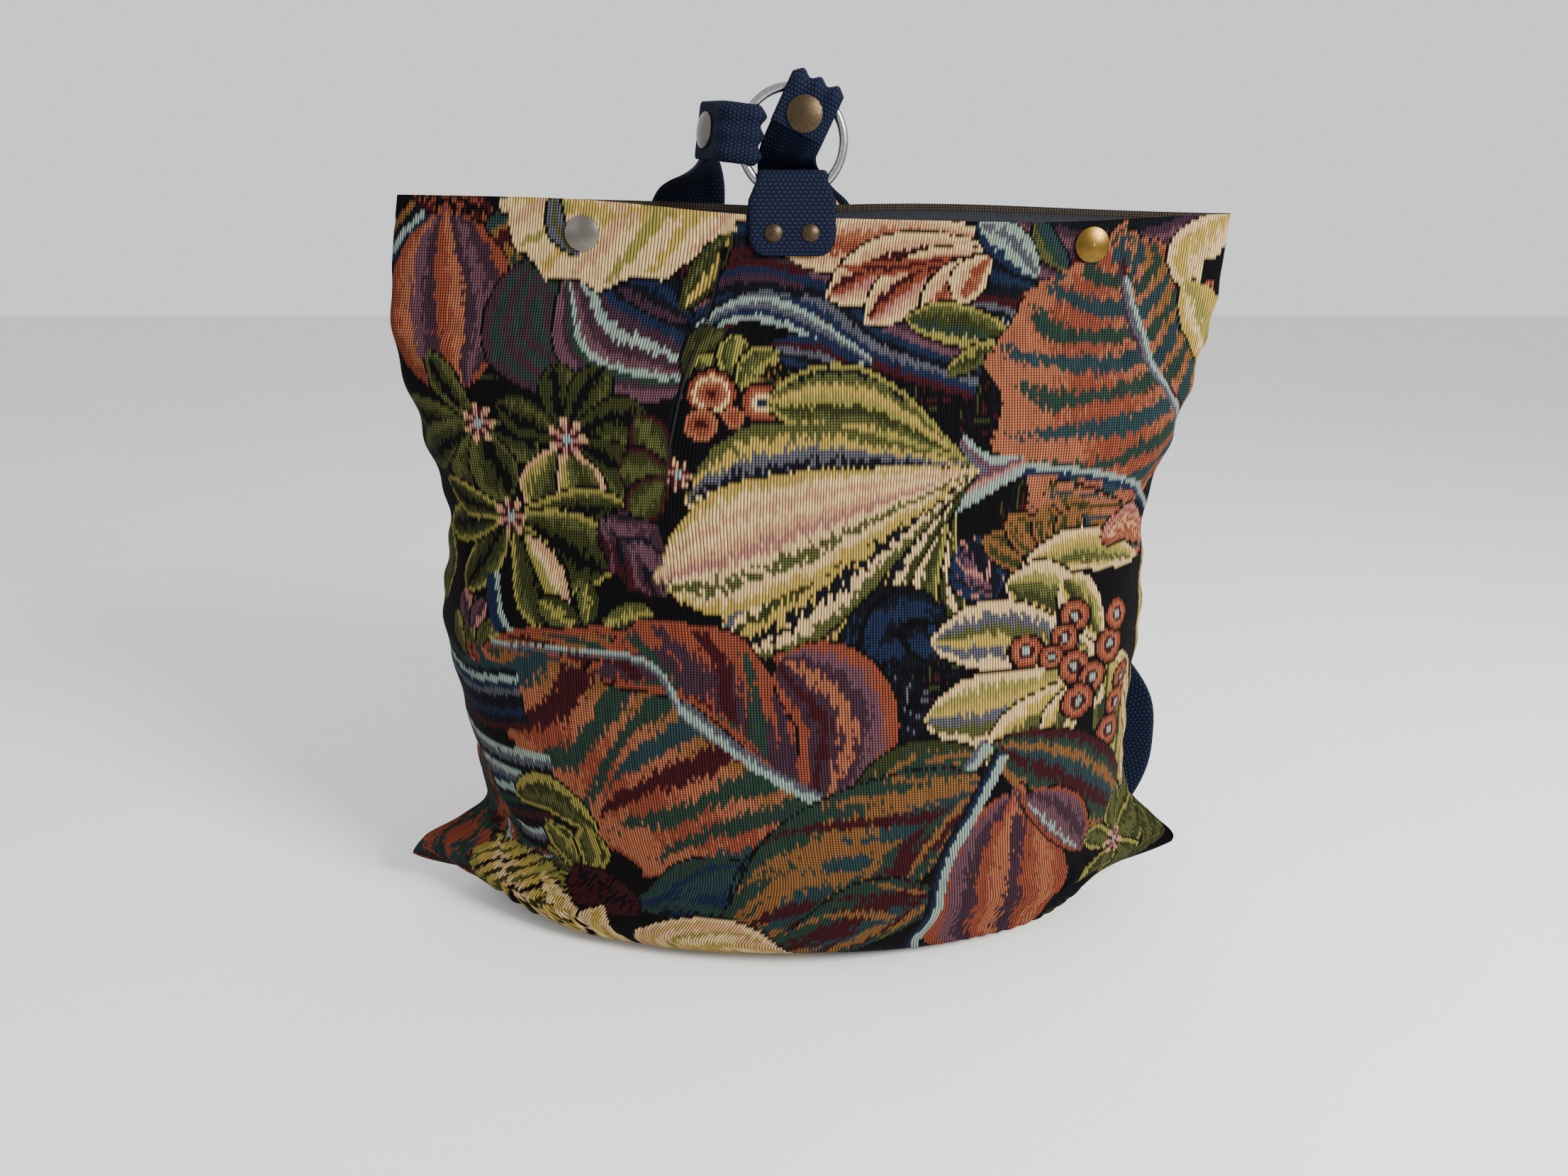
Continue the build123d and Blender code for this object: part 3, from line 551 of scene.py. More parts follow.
def weavePattern(loom):
    leaf, band, fan, berry = loom.leaf, loom.band, loom.fan, loom.berry
    # dull sprigs in the black
    for u, t in ((-126, 286), (-146, 280), (-96, 266), (88, 262), (60, 268), (66, 150), (-160, 118),
            (46, 140), (-34, 34), (110, 222)):
        leaf(((u - 14, t - 10), (u + 12, t + 10)), 10, "ground ground", veins=7, vein="maroon night olive",
            share=0.3)
    # dark blue and maroon ribbons across the top
    band(((-60, 318), (-20, 330), (30, 326), (90, 306), (150, 318)), 26,
        "night blue night maroon night blue teal night", 0.1)
    band(((-52, 300), (-22, 318), (10, 314), (40, 292), (86, 276)), 15,
        "night plum mauve blue night grey blue maroon", 0.2)
    band(((-50, 296), (-26, 306), (0, 300), (34, 280)), 6, "mint grey blue mint", 0.6)
    band(((-14, 288), (10, 284), (30, 272)), 8, "blue maroon grey night blue", 0.5)
    band(((56, 304), (84, 304), (116, 296)), 6, "grey night mint night", 0.5)
    band(((-48, 316), (-26, 322), (0, 318)), 7, "maroon blue plum night")
    # plum and mint along the right of the rim
    band(((88, 350), (124, 338), (160, 338), (192, 350)), 11, "night plum mauve plum maroon", 0.2)
    band(((70, 328), (94, 328), (126, 314)), 8, "plum mauve night blue", 0.3)
    leaf(((104, 350), (110, 338), (122, 326)), 6, "teal green moss")
    # top left corner
    band(((-202, 322), (-188, 338), (-160, 352)), 9, "ochre night mint blue mint night")
    leaf(((-192, 350), (-170, 346), (-150, 342)), 7, "maroon ground maroon", veins=7, vein="coral",
        share=0.25)
    leaf(((-150, 308), (-146, 332), (-112, 350)), (10, 26), "green teal ochre maroon ochre green plum",
        fat=0.5, blunt=0.5)
    # bud at the top left
    leaf(((-160, 268), (-168, 302), (-174, 342)), (34, 32),
        "coral salmon mauve plum coral salmon plum mauve plum coral", fat=0.52, blunt=0.5, edge="coral")
    # shell leaves
    leaf(((-126, 324), (-132, 294), (-102, 271)), (20, 18), "green plum green plum green plum green plum",
        blunt=0.5)
    leaf(((-112, 318), (-94, 286), (-46, 274)), (30, 16),
        "night blue plum mint plum mauve mint green plum mauve mauve", fat=0.55, blunt=0.42, blur=0.7)
    leaf(((-90, 316), (-70, 312), (-52, 300)), 9, "night blue night plum")
    # cream leaf at the top left, and the strip beside the pocket
    leaf(((-142, 348), (-96, 342), (-36, 350)), (14, 31), "cream yellow cream cream", veins=7,
        vein="yellow peach lime", share=0.4, sweep=-1.2, scallop=0.16, lobes=4.5, fat=0.46, blunt=0.4,
        edge="cream")
    leaf(((-122, 352), (-120, 338), (-108, 326)), 4, "grey moss grey")
    leaf(((-38, 340), (-48, 322), (-58, 304)), 7, "lime yellow olive moss", edge="olive")
    # painted shadow of the pocket cut: a thin black line woven along the slit
    band(((-40, 336), (-44, 306), (-53, 276), (-62, 246), (-63, 216)), 1.6, "ground night")
    # olive leaves right of the pocket
    leaf(((-50, 270), (-46, 288), (-36, 296)), 8, "olive moss olive")
    fan((-30, 268), ((-46, 284, 7, 0), (-30, 294, 8, 0), (-10, 286, 8, 2)), "olive moss lime olive",
        edge="lime")
    leaf(((-18, 274), (-2, 268)), 9, "ground olive ground", veins=5, vein="ochre olive", share=0.3)
    # berries by the pocket
    berry(-40, 268, 11, "maroon coral salmon cream coral")
    berry(-17, 264, 9, "blue cream salmon coral")
    berry(-45, 255, 8, "maroon coral salmon")
    berry(-30, 258, 5, "coral salmon")
    # coral and cream blossom at the top
    fan((90, 340), ((8, 348, 12, 0), (-10, 332, 15, -4)), "cream peach coral salmon peach cream",
        edge="cream")
    fan((88, 336), ((10, 312, 15, -6), (30, 300, 13, -6)), "cream peach rose coral maroon peach cream",
        edge="cream")
    fan((86, 334), ((58, 302, 9, -4), (74, 310, 9, -3)), "cream salmon coral peach cream", edge="cream")
    band(((70, 332), (40, 326), (14, 326)), 3.4, "coral maroon coral", 0.9)
    leaf(((76, 348), (92, 338), (108, 322)), 9, "mint grey mint blue")
    # small olive leaf
    leaf(((48, 302), (72, 298), (104, 290)), (11, 8), "moss olive green lime", edge="lime")
    leaf(((68, 276), (82, 284), (98, 292)), 5, "lime olive moss")
    # large coral leaf with grey-green stripes at the right
    leaf(((208, 240), (178, 272), (160, 304), (150, 338)), (92, 44), "salmon coral salmon ochre coral",
        veins=9, vein="teal green teal green", share=0.5, sweep=2.6, fat=0.42, blunt=0.45, scallop=0.12,
        lobes=5, reach=0.86, edge="salmon")
    band(((147, 330), (156, 304), (170, 278), (198, 252)), 3.0, "maroon plum", 0.5)
    band(((150, 322), (160, 298), (176, 270), (204, 242)), 2.6, "mint grey", 0.3)
    leaf(((188, 306), (176, 334), (206, 352)), (6, 18), "cream yellow cream", edge="cream", fat=0.6)
    leaf(((208, 274), (192, 298), (180, 318)), (8, 15), "yellow cream lime yellow")
    # lower coral leaf, mint line
    leaf(((118, 228), (156, 208), (200, 198)), (12, 18), "salmon ochre salmon", veins=6, vein="teal olive",
        share=0.4)
    band(((104, 236), (140, 232), (172, 224), (202, 206)), 2.4, "mint blue")
    # pink and mint twig
    band(((74, 248), (88, 238), (106, 238)), 4, "mint mauve grey", 0.3)
    band(((64, 216), (80, 226), (106, 238)), 5, "mauve rose mint mint", 0.3)
    # star flowers on the left
    fan((-152, 254), ((-200, 262, 8, 3), (-198, 236, 10, 0), (-168, 214, 14, 3), (-122, 242, 8, 0),
        (-176, 284, 7, 2), (-140, 222, 13, -2)), "olive ground olive moss", edge="moss")
    fan((-108, 248), ((-112, 280, 10, 0), (-88, 278, 9, 2), (-68, 256, 11, 2), (-70, 226, 12, 0),
        (-142, 262, 8, 0)), "olive ground olive moss", edge="olive")
    fan((-110, 246), ((-128, 216, 12, 0), (-98, 216, 12, 0)), "moss olive moss lime", edge="peach")
    fan((-140, 214), ((-78, 218, 9, 2), (-88, 192, 17, 0), (-112, 166, 14, 2), (-164, 178, 13, -2),
        (-192, 204, 9, 0), (-184, 226, 8, 2)), "moss olive ground olive moss", edge="lime")
    leaf(((-132, 206), (-116, 190), (-104, 172)), 6, "peach cream lime")
    fan((-58, 234), ((-76, 258, 9, 0), (-84, 236, 10, 0), (-80, 216, 9, 0)), "olive moss olive",
        edge="maroon")
    for u, t, size in ((-152, 254, 9), (-108, 248, 10), (-140, 214, 9), (-56, 234, 7)):
        loom.star(u, t, size)
    leaf(((-94, 214), (-76, 202), (-60, 184)), 15, "plum mauve plum maroon", veins=4, vein="mauve night",
        scallop=0.2, lobes=3)
    # little tuft on the left, blue stem
    fan((-154, 140), ((-172, 164, 8, 0), (-156, 174, 9, 0), (-140, 166, 8, 0)), "olive moss lime olive",
        edge="moss")
    fan((-158, 158), ((-166, 176, 6, 0), (-150, 174, 5, 0)), "mauve plum rose")
    band(((-148, 188), (-142, 170), (-130, 156)), 4, "mint blue blue")
    leaf(((-200, 204), (-190, 186), (-188, 166)), 10, "olive moss olive", edge="lime")
    fan((-92, 166), ((-64, 176, 6, 2), (-120, 178, 6, 0), (-98, 188, 5, 0)), "moss lime olive")
    loom.star(-92, 166, 6)
    # big cream leaf in the middle, lobe by lobe from its stem
    fan((80, 238), ((-14, 264, 15, -12),), "yellow moss olive lime yellow moss night", edge="lime",
        fat=0.66)
    fan((74, 222), ((72, 172, 11, -5), (44, 164, 15, -5)), "moss olive cream olive night moss", edge="lime",
        fat=0.66)
    for tip, half, bow, stripes in (
        ((6, 158), 20, -6, "olive cream night yellow plum cream moss yellow night"),
        ((-30, 166), 25, -4, "moss cream night yellow olive cream grey yellow cream"),
        ((-50, 224), 24, -6, "cream yellow moss cream night grey yellow moss"),
        ((-62, 192), 27, -2, "yellow cream moss cream rose peach cream peach cream yellow"),
    ):
        fan((86, 237), ((*tip, half, bow),), stripes, fat=0.7, blunt=0.5, blur=1.4, scallop=0.05, lobes=3,
            outline=tip[0] > -40)
    # dark leaves right of it
    leaf(((20, 150), (46, 170), (70, 160)), 18, "night blue night blue night", veins=4, vein="ground blue")
    leaf(((34, 130), (60, 142)), 14, "night ground night", veins=7, vein="grey ground", share=0.3)
    leaf(((92, 182), (78, 206)), 15, "blue mauve night blue", veins=3, vein="night rose", share=0.3)
    # ochre and olive blossom
    fan((126, 192), ((88, 206, 8, 0), (100, 216, 8, 0), (118, 220, 8, 0), (136, 218, 8, 0),
        (152, 206, 8, 0)), "olive ochre olive", edge="ochre")
    leaf(((104, 192), (140, 200), (182, 190)), (9, 10), "cream yellow lime moss yellow", edge="cream")
    leaf(((150, 202), (172, 208), (194, 196)), 9, "rose peach salmon", veins=4, vein="coral")
    # orchid leaf with berries
    leaf(((202, 204), (196, 160), (200, 92)), 10, "yellow cream lime yellow", veins=5, vein="olive lime",
        share=0.35)
    fan((148, 156), ((98, 186, 15, -6), (128, 188, 12, 0)), "cream yellow olive moss lime cream",
        edge="cream")
    fan((146, 152), ((62, 164, 15, -6),), "cream grey yellow moss grey cream", edge="cream")
    fan((142, 146), ((58, 130, 17, 4),), "cream moss grey yellow lime cream", edge="cream")
    fan((140, 144), ((86, 108, 15, 2), (116, 112, 10, 0)), "yellow cream olive moss yellow cream",
        edge="cream")
    leaf(((152, 150), (174, 116), (186, 54)), (14, 30), "yellow cream yellow lime cream", veins=4,
        vein="olive moss", share=0.3, edge="cream")
    leaf(((146, 126), (160, 102)), 8, "green olive moss")
    for u, t, size in ((132, 170, 8), (126, 161, 7), (106, 157, 8), (119, 153, 6), (131, 147, 8),
            (153, 153, 9), (142, 140, 8), (166, 134, 8), (134, 130, 9), (161, 123, 8), (156, 110, 9),
            (159, 166, 8)):
        berry(u, t, size, "mint maroon salmon coral")
    # striped leaf under them
    leaf(((92, 116), (140, 94), (184, 50)), (16, 26), "maroon green ochre teal maroon green ochre",
        blunt=0.5)
    # coral leaf with the long mint rib
    leaf(((-144, 152), (-76, 148), (-34, 122), (14, 86)), (22, 94),
        "coral ochre coral ochre salmon coral salmon", veins=8.5, vein="green teal maroon green",
        share=0.55, sweep=-2.4, scallop=0.10, lobes=6, fat=0.5, blunt=0.36, reach=0.84, edge="coral")
    leaf(((-88, 148), (-40, 140), (4, 94)), (32, 5), "coral plum coral maroon", veins=7,
        vein="plum maroon green", share=0.5, sweep=-1.6, scallop=0.12, lobes=3, fat=0.46, blunt=0.42,
        edge="coral")
    leaf(((-6, 158), (20, 132), (8, 90)), (26, 20), "coral mauve plum salmon plum maroon plum coral",
        fat=0.48, blunt=0.5, edge="coral")
    leaf(((22, 92), (52, 108), (86, 110)), 12, "olive ochre green ochre", veins=3, vein="green")
    band(((-146, 156), (-70, 156), (-46, 130), (-8, 104)), 1.9, "mint grey")
    band(((-52, 138), (-8, 104), (34, 84), (62, 90), (88, 118)), 3.4, "grey mint mint")
    # left side: blue and mint bands, olive leaves
    band(((-200, 142), (-166, 134), (-128, 140)), 9, "teal night mint blue grey night")
    band(((-200, 122), (-164, 118), (-126, 124)), 7, "night blue night maroon")
    band(((-200, 100), (-166, 94), (-116, 96)), 11, "mint grey night mint grey blue")
    band(((-200, 76), (-166, 72), (-112, 84)), 9, "mint night green night maroon")
    band(((-176, 58), (-150, 54), (-130, 60)), 5, "mint grey night")
    leaf(((-144, 80), (-122, 86), (-98, 70)), 10, "lime olive moss olive", edge="lime")
    fan((-108, 40), ((-134, 52, 9, 0), (-128, 70, 10, 0), (-104, 72, 9, 0)), "olive moss lime olive",
        edge="lime")
    # along the base
    leaf(((-78, 32), (-40, 40), (10, 18)), (24, 14), "green teal blue green night", veins=4,
        vein="blue teal", share=0.4)
    leaf(((0, 70), (-18, 50), (-30, 28)), 17, "blue night teal", veins=4, vein="night")
    leaf(((86, 98), (36, 66), (0, 36), (-16, 2)), (24, 40), "green maroon green teal ochre green", veins=6,
        vein="ochre maroon ochre", share=0.4, sweep=2.6, blunt=0.5)
    leaf(((62, 40), (30, 24), (-6, -2)), (12, 28), "green ochre teal maroon green", veins=5,
        vein="ochre maroon", share=0.35)
    # second bud, and the stem beside it
    leaf(((112, -22), (90, 30), (102, 90)), (32, 42),
        "coral mauve plum coral salmon plum coral salmon coral", fat=0.55, blunt=0.5)
    leaf(((142, 44), (124, 66), (104, 88)), (6, 20), "plum mauve mint mauve plum mauve", edge="coral")
    band(((94, 112), (78, 82), (62, 50), (56, -4)), 4.2, "mint mint blue night")
    # corners
    fan((166, 36), ((174, 70, 11, 0), (204, 50, 12, 0), (200, 20, 12, 0), (170, 4, 10, 0), (140, 14, 10, 0),
        (146, 54, 8, 0)), "olive moss olive", edge="lime")
    loom.star(166, 36, 9)
    leaf(((-206, 6), (-186, 40), (-172, 92)), (32, 28), "coral green teal maroon coral green", veins=7,
        vein="green coral maroon", share=0.42)
    leaf(((-176, 56), (-156, 38), (-130, 46)), 12, "green coral mint green coral")
    leaf(((-212, -66), (-186, -14), (-166, 30)), (36, 22), "green coral teal maroon green", veins=7,
        vein="coral green", share=0.4, blunt=0.3)
    fan((176, 0), ((206, 10, 10, 0), (206, -24, 12, 0), (178, -40, 12, 0), (146, -14, 10, 0)),
        "olive moss olive", edge="moss")
    # cream leaves along the base
    leaf(((-118, 46), (-98, 34), (-72, 26)), 11, "maroon ground maroon maroon", blur=2.4)
    # its dark veins, about 9 mm apart over the gathers at the base, are partly the leaf's woven veins and
    # partly painted shade in the gathers' valleys
    leaf(((-168, 34), (-130, 14), (-88, -26)), (24, 30), "lime yellow cream yellow lime", veins=11,
        vein="olive moss night", share=0.34, sweep=0.4, blunt=0.4, reach=1.2)
    leaf(((-134, 36), (-112, 22), (-94, 4)), 6, "cream yellow cream", fat=0.7)
    leaf(((-90, 24), (-88, -34)), 11, "cream yellow cream", blunt=0.4)
    leaf(((-76, -10), (-40, 11), (10, -4)), (19, 26), "peach cream yellow cream", veins=4,
        vein="yellow lime", share=0.3, edge="cream")
    # under the base
    leaf(((20, -10), (70, -30), (124, -22)), 22, "green ochre teal maroon", veins=6, vein="ochre")
    leaf(((-66, -40), (-20, -34), (34, -46)), 18, "coral salmon plum coral")
    leaf(((130, 4), (162, -24)), 16, "night olive moss")


def panelYarns(u, t, seed, wrap):
    loom = Loom(u, t, seed)
    if wrap is None:
        weavePattern(loom)
    else:  # the repeat carries on round the back, moved by wrap
        for du in (-sack["flatWidth"], 0, sack["flatWidth"]):
            for dt in (-clothRun, 0, clothRun):
                loom.shift = (wrap[0] + du, wrap[1] + dt)
                weavePattern(loom)
    table = np.array([linear(yarns[n])[:3] + [1.0 if n in cordYarns else 0.0] for n in loom.names])
    return table[loom.yarn]


# Slash pocket: a slanting cut in the front panel, its left lip lying over the right one
pocket = {
    "top": (-42.0, 335.0), "low": (-64.5, 216.0), "bow": 2.0, "overlap": 0.9, "raise": 1.0, "sink": 1.3,
    "soft": 7.0, "lowEase": 14.0, "topEase": 8.0,
    "spread": 62.0,  # columns this near the cut slant with it
    "fade": 60.0, "column": -53.0, "crack": 0.02,
}


def slitAt(t):
    share = np.clip((pocket["top"][1] - t) / (pocket["top"][1] - pocket["low"][1]), 0, 1)
    bow = pocket["bow"] * np.sin(2 * np.pi * share)
    return pocket["top"][0] + (pocket["low"][0] - pocket["top"][0]) * share + bow


def drawToSlit(u, t, base):
    # the upright column of points at the base place slants to follow the cut
    pull = np.maximum(0, 1 - np.abs(u - base) / pocket["spread"]) ** 2
    away = np.maximum(np.maximum(pocket["low"][1] - t, t - pocket["top"][1]), 0)
    return u + (slitAt(t) - base) * pull * np.maximum(0, 1 - away / pocket["fade"])


def lipLift(u, t):
    # how far the lips stand out or in, and how far they slide over each other
    d = u - slitAt(t)
    above, below = (t - pocket["low"][1]) / pocket["lowEase"], (pocket["top"][1] - t) / pocket["topEase"]
    near = np.exp(-np.abs(d) / pocket["soft"]) * (np.clip(above, 0, 1) * np.clip(below, 0, 1))
    lift = np.where(d < 0, pocket["raise"], -pocket["sink"]) * near
    return lift, np.where(d < 0, 1, -1) * pocket["overlap"] * near


slitColumn = int(round((pocket["column"] + halfFlat) / sack["flatWidth"] * dense["columns"] / 2)) * 2
slitBase = slitColumn / dense["columns"] * sack["flatWidth"] - halfFlat


def panelMesh(name, side):
    # face and back of the cloth as two grids, the back half as fine; x, y, z hold across, up, face or back
    columns, rows = dense["columns"], dense["rows"]
    bm = bmesh.new()
    grids = []
    for half, deep in ((1, 0.0), (2, 1.0)):
        verts = gridMesh(bm, columns // half, rows // half)
        for vert in verts:
            vert.co = Vector((vert.co.x * halfFlat, lowEdge + (vert.co.y + 1) / 2 * clothRun, deep))
        wide = columns // half + 1
        grids.append([verts[i:i + wide] for i in range(0, len(verts), wide)])
    edges = [(grid[-1], grid[0], [r[0] for r in grid], [r[-1] for r in grid]) for grid in grids]
    for big, small, flip in zip(edges[0], edges[1], (1, 0, 0, 1)):
        joinEdges(bm, big, small, flip)
    if side < 0:
        low, top = [int(round((pocket[k][1] - lowEdge) / clothRun * rows / 2)) * 2 for k in ("low", "top")]
        lips = []
        for grid, half in zip(grids, (1, 2)):
            cut = grid[low // half:top // half + 1]
            lips.append(splitColumn(bm, [row[slitColumn // half] for row in cut]))
        for big, small, flip in zip(lips[0], lips[1], (1, 0)):
            joinEdges(bm, big, small, flip)
    bmesh.ops.reverse_faces(bm, faces=[f for f in bm.faces if all(v.co.z > 0.5 for v in f.verts)])
    if side > 0:
        bmesh.ops.reverse_faces(bm, faces=bm.faces)
    mesh = closeMesh(bm, name)
    return mesh, np.array([v.co for v in mesh.vertices], float)


def joinEdges(bm, big, small, flip):
    # the panel's cut edge: every second point of the face meets a point of the back
    for i in range(len(small) - 1):
        a, b, c = big[2 * i:2 * i + 3]
        d, e = small[i], small[i + 1]
        for face in ((a, b, d), (b, e, d), (b, c, e)):
            bm.faces.new(face if flip else face[::-1])


def splitColumn(bm, column):
    # cut along a column of points, and give both new edges from low to high
    edges = [bm.edges.get((a, b)) for a, b in zip(column, column[1:])]
    ends = column[0], column[-1]
    made = bmesh.ops.split_edges(bm, edges=edges)
    spots = {}
    for edge in made["edges"]:
        for vert in edge.verts:
            if vert not in ends:
                around = [f.calc_center_median().x for f in vert.link_faces]
                spots[vert] = sum(around) / len(around)
    byHeight = {}
    for vert, middle in spots.items():
        byHeight.setdefault(round(vert.co.y, 3), []).append((middle, vert))
    left, right = [ends[0]], [ends[0]]
    for height in sorted(byHeight):
        pair = sorted(byHeight[height], key=lambda p: p[0])
        pair[0][1].co.x -= pocket["crack"]
        pair[-1][1].co.x += pocket["crack"]
        left.append(pair[0][1])
        right.append(pair[-1][1])
    return left + [ends[1]], right + [ends[1]]


def fillAttribute(mesh, name, values, domain="POINT"):
    if values.shape[1] == 4:
        attribute = mesh.color_attributes.new(name, "FLOAT_COLOR", domain)
        attribute.data.foreach_set("color", values.astype(np.float32).ravel())
    else:
        attribute = mesh.attributes.new(name, "FLOAT_VECTOR", domain)
        attribute.data.foreach_set("vector", values.astype(np.float32).ravel())


def setPoints(mesh, points):
    mesh.vertices.foreach_set("co", (points * mm).astype(np.float32).ravel())
    mesh.update()


# Jacquard tapestry: cotton and rayon yarns over a black warp. The eye sees upright cords in the pale
# yarns, a fine dark-dotted grid in the coloured ones, and a soft dull surface with slight colour streaks.
# The dark between cords and picks is painted shade: each yarn's own colour made dark, standing also for the
# warp.
def makeTapestry():
    material, tree = newMaterial("jacquardTapestry")
    cords = {"pitch": sack["flatWidth"] / dense["columns"], "pick": 1.15}  # mm
    place = addNode(tree, "Attribute", attribute_name="clothPlace").outputs["Vector"]
    yarn = addNode(tree, "Attribute", attribute_name="yarnColour")
    apart = addNode(tree, "SeparateXYZ", {0: place})
    rib = waveOf(tree, apart.outputs[0], cords["pitch"])
    pick = waveOf(tree, apart.outputs[1], cords["pick"])
    pickSoft = addNode(tree, "MapRange", {0: pick, 3: 0.35, 4: 1.0})
    grid = addNode(tree, "Math", {0: rib, 1: pickSoft}, operation="MULTIPLY")
    height = addNode(tree, "Mix", {0: yarn.outputs["Alpha"], 2: grid, 3: rib})
    # painted shade: this share drops between the cords and picks, where the colour falls to the yarn's dark
    # copy
    coverAndShade = addNode(tree, "MapRange", {0: height, 1: 0.18, 2: 0.75, 3: 0.0, 4: 1.0})
    streaks = addNode(tree, "Mapping", {0: place, 3: (0.7, 0.08, 1.0)})
    slub = addNode(tree, "TexNoise", {"Vector": streaks, "Scale": 1.0, "Detail": 3.0})
    tone = addNode(tree, "MapRange", {0: slub, 1: 0.25, 2: 0.75, 3: 0.72, 4: 1.22})
    lit = addNode(tree, "VectorMath", {0: yarn.outputs["Color"], "Scale": tone}, operation="SCALE")
    # painted shade in the grooves: the yarn's own colour at 0.12 of its brightness, also standing for the
    # black warp
    dark = addNode(tree, "VectorMath", {0: lit, "Scale": 0.12}, operation="SCALE")
    colour = addNode(tree, "Mix", {0: coverAndShade, 6: dark, 7: lit}, data_type="RGBA")
    rough = addNode(tree, "MapRange", {0: slub, 3: 0.95, 4: 0.78})
    bump = addNode(tree, "Bump", {"Height": height, "Strength": 0.7, "Distance": 0.45 * mm})
    return closeMaterial(material, tree, {
        "Base Color": colour.outputs[2], "Roughness": rough, "Normal": bump, "IOR": 1.45,
        "Specular IOR Level": 0.06,
    })


tapestry = makeTapestry()


def buildPanel(name, side, seed, wrap):
    mesh, flat = panelMesh(name, side)
    cord, t, deep = flat.T
    u = drawToSlit(cord, t, slitBase) if side < 0 else cord
    lift, slide = lipLift(u, t) if side < 0 else (0 * u, 0 * u)
    wall = sampleGrid(wallGrid, (t - lowEdge) / clothRun, (u + halfFlat) / sack["flatWidth"])
    setPoints(mesh, onSkin(side, u + slide, t, lift - deep * wall))
    fillAttribute(mesh, "clothPlace", np.stack([cord + halfFlat, t, deep], axis=1))
    columns, rows = dense["columns"], dense["rows"]
    places = [values[:(rows + 1) * (columns + 1)].reshape(rows + 1, columns + 1) for values in (u, t)]
    yarn = panelYarns((places[0][:, :-1] + places[0][:, 1:]) / 2, places[1][:, :-1], seed, wrap)
    corners = np.zeros(len(mesh.loops), np.int32)
    mesh.loops.foreach_get("vertex_index", corners)
    back = linear("#3a332c")[:3] + [0.0]  # mixed floats on the back of the weave
    colours = np.tile(np.array(back), (len(corners), 1))
    face = np.arange(4 * rows * columns) // 4
    row = np.rint((t[corners[:len(face)]] - lowEdge) / clothRun * rows).astype(int)
    colours[:len(face)] = yarn[row, face % columns]
    fillAttribute(mesh, "yarnColour", colours, "CORNER")
    newPiece(name, mesh, tapestry, name.replace("Cloth", "_panel"))
    print(name, "woven,", len(mesh.polygons), "faces")


buildPanel("frontCloth", -1, 11, None)
buildPanel("backCloth", 1, 12, (168.0, 120.0))


# Nylon lining: plain-woven dark grey taffeta with soft wrinkles and a dull sheen.
def makeNylon(name, light, dark):
    material, tree = newMaterial(name)
    place = addNode(tree, "TexCoord").outputs["Object"]
    # folds about 18 mm apart; threads drawn at 0.7 mm, coarser than real
    crumple = addNode(tree, "TexNoise", {"Vector": place, "Scale": 55.0, "Detail": 4.0})
    threads = addNode(tree, "TexVoronoi", {"Vector": place, "Scale": 1500.0})
    tone = addNode(tree, "MapRange", {0: threads, 1: 0.0, 2: 0.8, 3: 0.0, 4: 1.0})
    colour = addNode(tree, "Mix", {0: tone, 6: linear(light), 7: linear(dark)}, data_type="RGBA")
    both = addNode(tree, "Math", {0: crumple, 1: 6.0, 2: threads}, operation="MULTIPLY_ADD")
    bump = addNode(tree, "Bump", {"Height": both, "Strength": 0.4, "Distance": 0.2 * mm})
    return closeMaterial(material, tree, {
        "Base Color": colour.outputs[2], "Roughness": 0.6, "Normal": bump, "IOR": 1.53,
        "Specular IOR Level": 0.1,
    })


nylon = makeNylon("nylonTaffeta", "#232329", "#17171c")
facingCloth = makeNylon("blackNylonFacing", "#101013", "#08080a")
inside = {
    "columns": 84, "rows": 88, "skin": 2.9, "thickness": 0.6, "drop": 3.0, "wrinkle": 0.9,
    "waves": (9.5, 31.0, 17.0, 23.0),  # its wrinkles' lengths
    "hem": 12.0,  # smooth below the rim and beside the seams
    "rimEase": 60.0, "seamEase": 30.0, "lipRoom": 1.6, "weld": 0.3,
}


def buildLining():
    bm = bmesh.new()
    for side in (-1, 1):
        u, t = latticeOf(inside["columns"], inside["rows"])
        points = clothPoint(side, u, t, inside["skin"], inside["skin"], inside["drop"])
        points += finer(moves[side], inside["columns"], inside["rows"])
        normal = latticeNormals(points, side)
        free = np.clip((sack["height"] - inside["hem"] - t) / inside["rimEase"], 0, 1)
        free = free * np.clip((halfFlat - np.abs(u)) / inside["seamEase"], 0, 1)
        narrow, sway, low, swing = inside["waves"]
        fold = np.sin(u / narrow + 2 * np.sin(t / sway)) * np.sin(t / low + np.sin(u / swing)) * 0.5 + 0.5
        lip = lipLift(u, t)[0] if side < 0 else 0 * u
        deep = inside["wrinkle"] * free * fold + np.maximum(-lip, 0) * inside["lipRoom"]
        deep += np.maximum(creases(side, u, t) * -1, 0)
        points -= normal * deep[..., None]
        points[..., 2] = np.maximum(points[..., 2], inside["skin"])
        moveVerts(gridMesh(bm, inside["columns"], inside["rows"]), points)
    bmesh.ops.remove_doubles(bm, verts=bm.verts, dist=inside["weld"] * mm)
    bmesh.ops.recalc_face_normals(bm, faces=bm.faces)
    piece = newPiece("liningCloth", closeMesh(bm, "liningCloth"), nylon, "lining")
    thicken(piece, inside["thickness"], -1)
    print("lining sewn")


buildLining()


# Pocket pouch, lying behind the cut between panel and lining
pouch = {
    "left": -158.0, "right": -44.0, "low": 174.0, "top": 322.0, "columns": 44, "rows": 58, "skin": 1.9,
    "lipRoom": 1.2, "thickness": 0.7,
}


